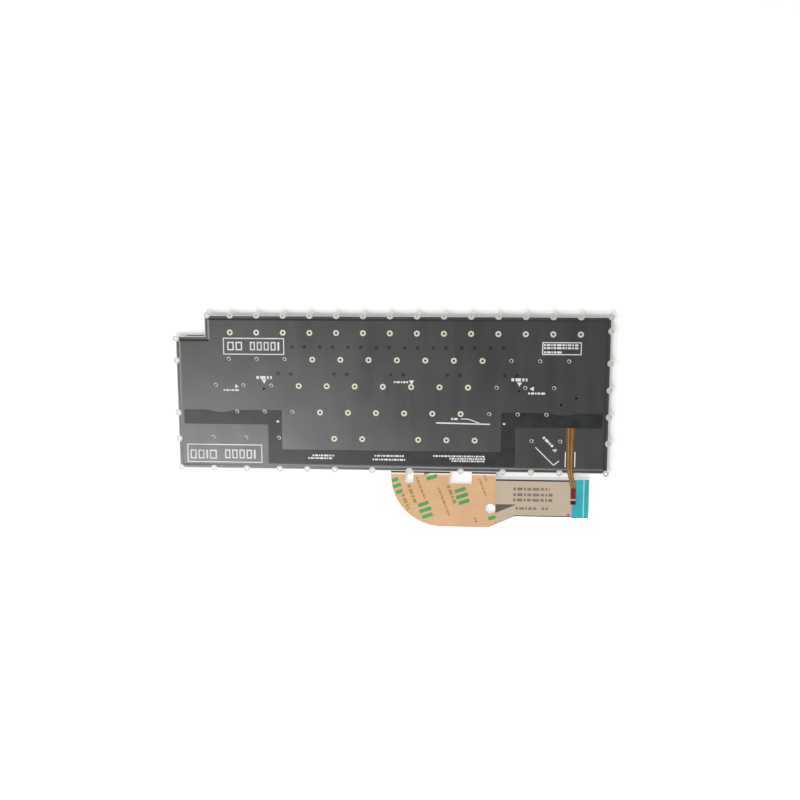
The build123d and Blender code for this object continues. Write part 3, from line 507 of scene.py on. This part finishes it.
def round_corners(offset):
    """Rounds the upright edges of the bars in edit mode; offset in mm."""
    bpy.ops.mesh.select_mode(type="EDGE")
    bpy.ops.mesh.select_all(action="DESELECT")
    bpy.ops.object.mode_set(mode="OBJECT")
    mesh = bpy.context.object.data
    for edge in mesh.edges:
        a, b = (mesh.vertices[i].co for i in edge.vertices)
        edge.select = abs(a.z - b.z) > 1e-6
    bpy.ops.object.mode_set(mode="EDIT")
    bpy.ops.mesh.bevel(offset=offset * MM, segments=2, affect="EDGES", clamp_overlap=True)


def split_node(node, name):
    """A copy of a CAD node's mesh, merged and parted into its solids."""
    piece = start_piece(name)
    bpy.ops.object.mode_set(mode="OBJECT")
    piece.data = frame["nodes"][node].data.copy()
    bpy.ops.object.mode_set(mode="EDIT")
    bpy.ops.mesh.select_all(action="SELECT")
    bpy.ops.mesh.remove_doubles(threshold=0.001 * MM)
    bpy.ops.mesh.separate(type="LOOSE")
    bpy.ops.object.mode_set(mode="OBJECT")
    return list(bpy.context.selected_objects)


def key_over(point):
    """The name of the moving key at a place, or fixed."""
    for name, (low, high) in KEY_BOXES.items():
        if low.x < point.x < high.x and low.y < point.y < high.y:
            return name
    return "fixed"


class KEYBOARD_OT_plate(bpy.types.Operator):
    """Finishes the steel support plate and the space bar's wire"""

    bl_idname = "keyboard.plate"
    bl_label = "Support plate"

    def execute(self, context):
        colours = context.scene.keyboard_colours
        paint("support_plate", steel_material(colours))
        # drawn wire: bright, with fine drawing marks
        paint("space_stabiliser", even_material("drawn_steel_wire", colours.wire, 0.2, 0.3, metal=1.0))
        return {"FINISHED"}


class KEYBOARD_OT_backlight(bpy.types.Operator):
    """Finishes the films, the light guide, the lamps and the tape over them"""

    bl_idname = "keyboard.backlight"
    bl_label = "Backlight films"

    def execute(self, context):
        colours = context.scene.keyboard_colours
        paint("reflector_film", film_material(colours))
        paint("led_cover_tape", tape_material(colours))
        # a dull black print that swallows stray light
        paint("mask_film", even_material("black_mask_film", colours.mask, 0.8, 0.6))
        # clear acrylic, which looks pale and smooth between two films
        paint("light_guide", even_material("acrylic_light_guide", colours.guide, 2.0, 0.15))
        # yellow phosphor in a pale package
        paint("leds", even_material("lamp_phosphor", colours.lamp, 0.4, 0.4))
        return {"FINISHED"}


class KEYBOARD_OT_print(bpy.types.Operator):
    """Prints frames, pointers and rows of plain marks on the film and the tape"""

    bl_idname = "keyboard.print"
    bl_label = "White print"

    def execute(self, context):
        sizes = context.scene.keyboard_sizes
        # screen ink: an even, slightly chalky white
        ink = even_material("white_screen_ink", context.scene.keyboard_colours.ink, 0.6, 0.55)
        self.frames(sizes.frame_line / MM, sizes.ink, ink)
        self.signs(sizes.sign_line / MM, sizes.ink, ink)
        self.pointers(sizes.ink, ink)
        self.rows(sizes.ink, ink)
        # the white domes on the tape's legs are a painted highlight
        self.highlight_studs(ink)
        return {"FINISHED"}

    def frames(self, line, thick, ink):
        """Label frames, guide lines beside the ribbon and leader lines."""
        piece = start_piece("film_frames")
        add_box_line(-92.55, 50.2, 41.7, 11.4, line, FILM_TOP, thick)
        add_box_line(-114.3, -23.8, 52.1, 12.8, line, FILM_TOP, thick)
        add_box_line(113.85, 50.1, 25.9, 8.55, line, FILM_TOP, thick)
        for x in (117.65, 124.0):
            add_bar(x, -24.8, line, 10.6, FILM_TOP, thick)
        add_stroke((30.75, -0.8), (67.0, -1.4), 0.9, FILM_TOP, thick)
        add_stroke((97.6, -16.7), (109.9, -28.9), line, FILM_TOP, thick)
        add_stroke((109.9, -28.9), (113.5, -25.8), line, FILM_TOP, thick)
        add_stroke((109.0, -18.6), (112.0, -18.0), line, FILM_TOP, thick)
        add_stroke((112.0, -18.0), (110.2, -19.8), line, FILM_TOP, thick)
        bend = [(47.4, 2.1), (52.2, 2.0), (54.2, 1.4), (57.2, 0.3), (60.3, -0.9)]
        for start, end in zip(bend, bend[1:]):
            add_stroke(start, end, line, FILM_TOP, thick)
        end_piece(piece, ink)

    def signs(self, line, thick, ink):
        """Plain box signs inside the frames."""
        piece = start_piece("film_signs")
        # box signs in a row: left end, level, height, widths; 1.3 mm lies between two boxes
        for left, y, height, widths in (
            (-110.5, 50.3, 5.7, (4.4, 4.4)),
            (-95.0, 50.35, 5.7, (3.4, 3.4, 3.4, 3.4, 1.2)),
            (-138.2, -24.6, 6.2, (4.2, 4.2, 1.2, 4.8)),
            (-114.1, -24.2, 6.2, (3.7, 3.7, 3.7, 3.7, 1.2)),
        ):
            for width in widths:
                add_box_line(left + width / 2, y, width, height, min(line, width / 2), FILM_TOP, thick)
                left += width + 1.3
        end_piece(piece, ink)

    def pointers(self, thick, ink):
        """Pointers and short rows of small print."""
        piece = start_piece("film_pointers")
        for x, y in ((-85.85, 26.7), (14.23, 26.95), (86.27, 26.3)):
            add_pointer(x, y, 3.4, 270, FILM_TOP, thick)
        add_pointer(-105.0, 22.8, 2.8, 0, FILM_TOP, thick)
        add_pointer(94.9, 23.0, 3.2, 180, FILM_TOP, thick)
        for x in (-85.8, 86.2):
            add_words(x, 29.0, 10.6, 2.0, FILM_TOP, thick)
        add_words(-108.6, 20.2, 10.6, 1.2, FILM_TOP, thick)
        add_words(7.1, 26.7, 9.6, 1.3, FILM_TOP, thick)
        add_words(97.7, 19.9, 11.2, 1.3, FILM_TOP, thick)
        add_words(43.6, 2.0, 5.4, 1.4, FILM_TOP, thick)
        add_words(105.9, -12.9, 9.2, 1.6, FILM_TOP, thick, -44.6)
        for x, y, length in ((113.6, 52.4, 23.0), (113.6, 50.4, 23.0), (108.2, 47.6, 11.8)):
            add_words(x, y, length, 1.3, FILM_TOP, thick)
        round_corners(0.15)
        end_piece(piece, ink)

    def rows(self, thick, ink):
        """Rows of small print on the tape's long band."""
        piece = start_piece("tape_rows")
        for x, y, length, height in (
            (-46.0, -24.3, 15.0, 1.2),
            (-48.0, -26.2, 17.0, 1.2),
            (-1.0, -24.0, 20.0, 1.2),
            (-0.8, -26.6, 23.0, 1.2),
            (46.4, -23.6, 35.0, 1.1),
            (51.9, -25.3, 24.0, 1.1),
            (52.5, -26.9, 22.5, 1.1),
        ):
            add_words(x, y, length, height, TAPE_TOP, thick)
        round_corners(0.15)
        end_piece(piece, ink)

    def highlight_studs(self, ink):
        """A low dome on each leg of the tape, white as a painted highlight."""
        piece = start_piece("tape_highlight_studs")
        for x, y in ((-76.9, -1.05), (76.5, -0.93)):
            bpy.ops.mesh.primitive_uv_sphere_add(
                segments=20,
                ring_count=10,
                radius=MM,
                location=(x * MM, y * MM, TAPE_TOP),
                scale=(1, 0.8, 0.25),
            )
        bpy.ops.mesh.select_all(action="SELECT")
        foot = TAPE_TOP - 0.02 * MM
        bpy.ops.mesh.bisect(plane_co=(0, 0, foot), plane_no=(0, 0, 1), use_fill=True, clear_inner=True)
        bpy.ops.mesh.select_all(action="SELECT")
        bpy.ops.mesh.faces_shade_smooth()
        end_piece(piece, ink)


class KEYBOARD_OT_tail(bpy.types.Operator):
    """Finishes the membrane and its tail, and prints the paper and the cable"""

    bl_idname = "keyboard.tail"
    bl_label = "Membrane tail"

    def execute(self, context):
        colours, thick = context.scene.keyboard_colours, context.scene.keyboard_sizes.ink
        paint("membrane_circuit", membrane_material(colours))
        # clear, slightly milky acrylic adhesive
        paint("tail_adhesive", even_material("acrylic_adhesive", colours.adhesive, 0.8, 0.5))
        paint("tail_liner", paper_material(colours))
        paint("tail_stiffener", stiffener_material(colours))
        self.broad_marks(thick, even_material("green_paper_ink", colours.mark, 0.5, 0.55))
        self.thin_marks(thick, even_material("olive_paper_ink", colours.dash, 0.5, 0.6))
        self.cable_rows(thick, even_material("grey_cable_ink", colours.tail_ink, 0.5, 0.6))
        self.test_spot(thick, even_material("red_test_ink", colours.test_ink, 0.5, 0.5))
        return {"FINISHED"}

    def broad_marks(self, thick, ink):
        """Groups of broad slanting bars on the paper."""
        piece = start_piece("paper_broad_marks")
        for x, y, length in (
            (1.6, -41.2, 7.6),
            (3.0, -45.3, 8.6),
            (5.8, -49.0, 4.8),
            (22.2, -57.5, 7.6),
            (23.6, -61.6, 8.6),
            (25.0, -65.7, 7.6),
            (47.2, -47.3, 7.6),
            (48.6, -51.4, 8.6),
            (50.0, -55.5, 7.6),
            (26.6, -34.6, 8.6),
            (28.0, -38.7, 7.6),
            (69.0, -66.4, 5.0),
        ):
            add_bar(x, y, length, 2.6, LINER_TOP, thick, 20)
        self.trim()
        round_corners(0.4)
        end_piece(piece, ink)

    def thin_marks(self, thick, ink):
        """Slanting rows of small print on the paper."""
        piece = start_piece("paper_thin_marks")
        for x, y, length, height in (
            (14.6, -50.8, 14.0, 2.2),
            (20.6, -46.6, 17.0, 1.4),
            (36.2, -55.6, 21.0, 1.4),
            (41.6, -50.8, 14.0, 2.2),
            (62.6, -45.4, 13.0, 1.3),
            (10.2, -56.0, 11.5, 2.2),
            (58.0, -68.2, 3.6, 1.4),
            (64.2, -38.6, 4.0, 1.5),
        ):
            add_words(x, y, length, height, LINER_TOP, thick, -69)
        self.trim()
        round_corners(0.12)
        end_piece(piece, ink)

    def cable_rows(self, thick, ink):
        """Rows of dark print on the cable."""
        piece = start_piece("cable_rows")
        for x, y, length in ((95.5, -45.9, 24.5), (96.5, -49.9, 26.5), (96.4, -53.6, 26.5)):
            add_words(x, y, length, 2.0, TAIL_TOP, thick)
        add_words(92.0, -59.5, 14.0, 1.8, TAIL_TOP, thick)
        add_words(104.7, -59.4, 4.0, 1.8, TAIL_TOP, thick)
        round_corners(0.2)
        end_piece(piece, ink)

    def test_spot(self, thick, ink):
        """A small round test mark near the cable's end."""
        piece = start_piece("cable_test_spot")
        bpy.ops.mesh.primitive_cylinder_add(
            vertices=24, radius=0.7 * MM, depth=thick, location=(120.6 * MM, -63.4 * MM, TAIL_TOP + thick / 2)
        )
        bpy.ops.mesh.bevel(offset=0.2 * thick, segments=1, affect="EDGES")
        end_piece(piece, ink)

    def trim(self):
        """Cuts away what lies past the paper's left, right and upper edge and its round corner."""
        low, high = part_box("tail_liner")
        # the round corner starts here and is cut straight, just inside it
        corner_y = -38.1 * MM
        for point, normal in (
            ((low.x, 0, 0), (-1, 0, 0)),
            ((low.x, corner_y, 0), (-0.99, -0.14, 0)),
            ((high.x, 0, 0), (1, 0, 0)),
            ((0, high.y, 0), (0, 1, 0)),
        ):
            bpy.ops.mesh.select_all(action="SELECT")
            bpy.ops.mesh.bisect(plane_co=point, plane_no=normal, use_fill=True, clear_outer=True)


class KEYBOARD_OT_ribbon(bpy.types.Operator):
    """Finishes the lamps' ribbon and lays its two conductors"""

    bl_idname = "keyboard.ribbon"
    bl_label = "Lamp ribbon"

    def execute(self, context):
        colours = context.scene.keyboard_colours
        paint("led_flex", ribbon_material(colours))
        paint("flex_stiffener", ribbon_end_material(colours))
        # rolled copper seen through amber film: bright and warm
        copper = even_material("copper_under_amber", colours.copper, 0.4, 0.35, metal=0.3)
        low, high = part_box("flex_stiffener")
        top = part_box("led_flex")[1].z
        end_x = (low.x + high.x) / 2
        # the ribbon's end lies aside of its start; it leaves the tape's arm and bends at the film's rim
        aside, arm_height, rim = 2.9, 9.8, 2.8
        start_x = end_x - aside * MM
        start_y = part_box("led_cover_tape")[1].y - arm_height * MM
        edge_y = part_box("reflector_film")[0].y + rim * MM
        piece = start_piece("ribbon_conductors")
        for side in (-1, 1):
            route = [
                Vector((start_x + side * 1.25 * MM, start_y, top)),
                Vector((start_x + side * 0.95 * MM, edge_y, top)),
                Vector((end_x + side * 0.8 * MM, high.y, low.z)),
            ]
            for start, end in zip(route, route[1:]):
                self.conductor(start, end, 0.7 * MM, 0.02 * MM)
        end_piece(piece, copper)
        return {"FINISHED"}

    def conductor(self, start, end, width, thick):
        """A thin strip from one point to another, flat side up."""
        run = end - start
        bpy.ops.mesh.primitive_cube_add(
            size=1,
            location=(start + end) / 2 + Vector((0, 0, thick / 2)),
            rotation=run.to_track_quat("X", "Z").to_euler(),
            scale=(run.length + width / 4, width, thick),
        )


class KEYBOARD_OT_keycaps(bpy.types.Operator):
    """Finishes the keycaps and prints their legends"""

    bl_idname = "keyboard.keycaps"
    bl_label = "Keycaps"

    words = {
        "tab": "Tab",
        "enter": "Enter",
        "backspace": "Back",
        "left_shift": "Shift",
        "right_shift": "Shift",
    }
    # keys without a body of their own, row by row from the function row, each row from +X
    fixed_rows = (
        ("Esc", *[f"F{n}" for n in range(1, 13)], "Del"),
        ("`", "-", "="),
        ("[", "]", "\\"),
        ("Caps", ";", "'"),
        (",", ".", "/"),
        ("Home", "up", "End"),
        ("Ctrl", "Fn", "", "Alt", "Alt", "Ctrl"),
        ("left", "down", "right"),
    )
    arrows = {"left": 0, "right": 180, "up": 90, "down": 270}

    def execute(self, context):
        colours = context.scene.keyboard_colours
        # eroded mould texture: dull black with fine pits
        plastic = even_material("moulded_black_abs", colours.keycap, 0.35, 0.5)
        for name in KEY_BOXES:
            paint(f"key_{name}", plastic)
        paint("fixed_keys", plastic)
        # a hard pale print, level with the cap
        ink = even_material("pale_legend_ink", colours.legend, 0.5, 0.5)
        for name, (low, high) in KEY_BOXES.items():
            word = self.words.get(name, name.upper())
            if name != "space":
                made = self.legend(context, word, (low + high) / 2)
                self.finish(made, f"legend_{name}", ink, f"key_{name}")
        self.fixed_legends(context, ink)
        return {"FINISHED"}

    def legend(self, context, word, place):
        """A word or an arrow on a key top, to be read from below."""
        sizes = context.scene.keyboard_sizes
        bpy.ops.object.select_all(action="DESELECT")
        if word in self.arrows:
            bpy.ops.mesh.primitive_cylinder_add(vertices=3, radius=1.3 * MM, depth=sizes.legend_depth)
            turn = math.radians(self.arrows[word] - 90)
            bpy.ops.transform.rotate(value=turn, orient_axis="Z", center_override=(0, 0, 0))
        else:
            bpy.ops.object.text_add()
            text = context.object.data
            text.body = word
            text.align_x = "CENTER"
            text.align_y = "CENTER"
            text.size = sizes.letter if len(word) == 1 else sizes.word
            text.extrude = sizes.legend_depth / 2
            text.resolution_u = 3
            bpy.ops.object.convert(target="MESH")
            context.object.rotation_euler.y = math.pi
        context.object.location = (place.x, place.y, -0.3 * sizes.legend_depth)
        bpy.ops.object.transform_apply(location=True, rotation=True, scale=True)
        return context.object

    def finish(self, piece, name, ink, body):
        """Names a legend, closes its seams, and sets it on its key."""
        piece.name = name
        piece.data.materials.clear()
        bpy.ops.object.mode_set(mode="EDIT")
        bpy.ops.mesh.select_all(action="SELECT")
        bpy.ops.mesh.remove_doubles(threshold=0.0005 * MM)
        end_piece(piece, ink, body)

    def fixed_legends(self, context, ink):
        """The legends of the keys without a body of their own, as one piece."""
        domes = split_node("rubber_domes", "dome_place")
        places = [middle for middle in map(middle_of, domes) if key_over(middle) == "fixed"]
        bpy.ops.object.select_all(action="DESELECT")
        for dome in domes:
            bpy.data.objects.remove(dome)
        places.sort(key=lambda place: (-round(place.y / MM), -place.x))
        words = [word for row in self.fixed_rows for word in row]
        if len(words) != len(places):
            raise RuntimeError(f"{len(places)} fixed keys, but {len(words)} legends")
        made = [self.legend(context, word, place) for word, place in zip(words, places) if word]
        for piece in made:
            piece.select_set(True)
        context.view_layer.objects.active = made[0]
        bpy.ops.object.join()
        self.finish(made[0], "legends_fixed", ink, ROOT)


class KEYBOARD_OT_mechanisms(bpy.types.Operator):
    """Gives each key its own rubber dome and scissor links"""

    bl_idname = "keyboard.mechanisms"
    bl_label = "Domes and links"

    def execute(self, context):
        colours = context.scene.keyboard_colours
        # cast silicone: milky and dull
        rubber = even_material("silicone_rubber", colours.rubber, 0.6, 0.6)
        # acetal: pale, slippery, with a dull mould finish
        acetal = even_material("moulded_acetal", colours.link, 0.4, 0.45)
        self.share("rubber_domes", "dome", rubber, "dome_rubber")
        self.share("scissor_outer_links", "outer_link", acetal, "link_plastic")
        self.share("scissor_inner_links", "inner_link", acetal, "link_plastic")
        return {"FINISHED"}

    def share(self, node, word, material, slot):
        """Gives each solid of a node to the key that it lies under."""
        groups = {}
        for solid in split_node(node, word):
            groups.setdefault(key_over(middle_of(solid)), []).append(solid)
        for key, solids in groups.items():
            bpy.ops.object.select_all(action="DESELECT")
            for solid in solids:
                solid.select_set(True)
            made = solids[0]
            bpy.context.view_layer.objects.active = made
            if len(solids) > 1:
                bpy.ops.object.join()
            bpy.ops.object.shade_smooth_by_angle(angle=math.radians(35))
            made.name = f"{word}_{key}"
            made.data.materials.clear()
            made.data.materials.append(material)
            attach(made, ROOT)
            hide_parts(node)
            if key != "fixed":
                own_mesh(made)

    def keep(self, key):
        """What is left of a dome's height when its key is down."""
        travel = next(j for j in frame["joints"] if j["name"] == f"key_{key}_press")["range_m"][1]
        height = DOME_SEAT - DOME_LOW
        return (height - travel) / height


class KEYBOARD_OT_stage(bpy.types.Operator):
    """Sets the floor, the lights and the camera"""

    bl_idname = "keyboard.stage"
    bl_label = "Stage"

    def execute(self, context):
        sizes = context.scene.keyboard_sizes
        bpy.ops.object.select_all(action="DESELECT")
        bpy.ops.mesh.primitive_plane_add(size=sizes.floor_side, location=(0, 0, -sizes.floor_gap))
        floor = context.object
        floor.name = "floor"
        bpy.ops.object.transform_apply(location=True, rotation=True, scale=True)
        floor.data.materials.append(self.paper(context.scene.keyboard_colours))
        # one high light gives the film its sheen, two lower ones catch its rim and throw the soft shadow
        self.light("sheen_light", (-0.62, -0.72, 1.8), 0.6, 11.0)
        self.light("left_light", (-1.76, -0.33, 1.45), 0.9, 14.0)
        self.light("front_light", (-0.18, -1.6, 1.5), 0.9, 15.0)
        self.surroundings(context)
        self.camera(context)
        context.scene.view_settings.view_transform = "Standard"
        return {"FINISHED"}

    def paper(self, colours):
        """Plain white paper, which keeps the shadow."""
        made, tree, shader, mm = start_material("white_paper_floor")
        fleck = put(tree, "ShaderNodeTexNoise", {"Vector": mm, "Scale": 1 / 3, "Detail": 2.0}).outputs[0]
        shade = put(tree, "ShaderNodeMapRange", {0: fleck, 3: 0.995, 4: 1.0}).outputs[0]
        dyed = {0: tuple(colours.floor)[:3], "Scale": shade}
        base = put(tree, "ShaderNodeVectorMath", dyed, operation="SCALE").outputs[0]
        connect(tree, shader, Base_Color=base)
        shader.inputs["Roughness"].default_value = 1.0
        shader.inputs["Specular IOR Level"].default_value = 0.0
        # a little of its own light keeps it white around the keyboard; under the film it stays dark,
        # below the tail and far off, where the lights do not reach, it gets more
        place = put(tree, "ShaderNodeSeparateXYZ", {0: mm})
        x, y = place.outputs[0], place.outputs[1]
        inward = from_edge(tree, x, y)
        around = put(tree, "ShaderNodeMapRange", {0: inward, 1: 0, 2: 3, 3: 0.24, 4: 0}).outputs[0]
        below = put(tree, "ShaderNodeMapRange", {0: y, 1: -42, 2: -35, 3: 0.4, 4: 0}).outputs[0]
        far = put(tree, "ShaderNodeMapRange", {0: inward, 1: -900, 2: -250, 3: 0.76, 4: 0}).outputs[0]
        more = put(tree, "ShaderNodeMath", {0: below, 1: far}, operation="MAXIMUM").outputs[0]
        whole = put(tree, "ShaderNodeMath", {0: around, 1: more}, operation="ADD").outputs[0]
        seen = put(tree, "ShaderNodeLightPath").outputs["Is Camera Ray"]
        glow = put(tree, "ShaderNodeMath", {0: seen, 1: whole}, operation="MULTIPLY").outputs[0]
        connect(tree, shader, Emission_Strength=glow)
        shader.inputs["Emission Color"].default_value = (1, 1, 1, 1)
        return made

    def light(self, name, place, side, power):
        """A square softbox that faces the keyboard."""
        lamp = bpy.data.lights.new(name, "AREA")
        lamp.size = side
        lamp.energy = power
        holder = bpy.data.objects.new(name, lamp)
        bpy.context.scene.collection.objects.link(holder)
        holder.location = place
        holder.rotation_euler = (-Vector(place)).to_track_quat("-Z", "Y").to_euler()

    def surroundings(self, context):
        """Even white surroundings."""
        world = bpy.data.worlds.new("studio")
        context.scene.world = world
        world.use_nodes = True
        tree = world.node_tree
        tree.nodes.clear()
        seen = put(tree, "ShaderNodeLightPath").outputs["Is Camera Ray"]
        level = put(tree, "ShaderNodeMapRange", {0: seen, 3: 0.36, 4: 1.0}).outputs[0]
        glow = put(tree, "ShaderNodeBackground", {"Color": (1, 1, 1, 1), "Strength": level}).outputs[0]
        put(tree, "ShaderNodeOutputWorld", {"Surface": glow})

    def camera(self, context):
        """A camera high over the keyboard, a little beyond its upper edge."""
        lens = bpy.data.cameras.new("camera")
        lens.lens = 50.74
        lens.sensor_width = 36
        lens.clip_start = 0.05
        holder = bpy.data.objects.new("camera", lens)
        context.scene.collection.objects.link(holder)
        right = Vector((0.99713875, -0.00207284, -0.0755646))
        up = Vector((-0.01059731, 0.98591932, -0.16688556))
        back = Vector((0.07484653, 0.16720884, 0.9830764))
        turn = Matrix((right, up, back)).transposed().to_4x4()
        holder.matrix_world = Matrix.Translation((0.06324, 0.141455, 0.75092)) @ turn
        context.scene.camera = holder


class KEYBOARD_PT_panel(bpy.types.Panel):
    """Lists the keyboard's operators, sizes and colours"""

    bl_idname = "KEYBOARD_PT_panel"
    bl_label = "Keyboard"
    bl_space_type = "VIEW_3D"
    bl_region_type = "UI"
    bl_category = "Keyboard"

    def draw(self, context):
        for operator in OPERATORS:
            self.layout.operator(operator.bl_idname)
        for group in (context.scene.keyboard_sizes, context.scene.keyboard_colours):
            for name in group.__annotations__:
                self.layout.prop(group, name)


OPERATORS = (
    KEYBOARD_OT_plate,
    KEYBOARD_OT_backlight,
    KEYBOARD_OT_print,
    KEYBOARD_OT_tail,
    KEYBOARD_OT_ribbon,
    KEYBOARD_OT_keycaps,
    KEYBOARD_OT_mechanisms,
    KEYBOARD_OT_stage,
)
CLASSES = (KeyboardSizes, KeyboardColours, *OPERATORS, KEYBOARD_PT_panel)


def register():
    for item in CLASSES:
        bpy.utils.register_class(item)
    bpy.types.Scene.keyboard_sizes = bpy.props.PointerProperty(type=KeyboardSizes)
    bpy.types.Scene.keyboard_colours = bpy.props.PointerProperty(type=KeyboardColours)


def unregister():
    del bpy.types.Scene.keyboard_colours
    del bpy.types.Scene.keyboard_sizes
    for item in reversed(CLASSES):
        bpy.utils.unregister_class(item)


def main():
    register()
    bpy.ops.keyboard.plate()
    bpy.ops.keyboard.backlight()
    bpy.ops.keyboard.print()
    bpy.ops.keyboard.tail()
    bpy.ops.keyboard.ribbon()
    bpy.ops.keyboard.keycaps()
    bpy.ops.keyboard.mechanisms()
    bpy.ops.keyboard.stage()


if __name__ == "__main__":
    main()
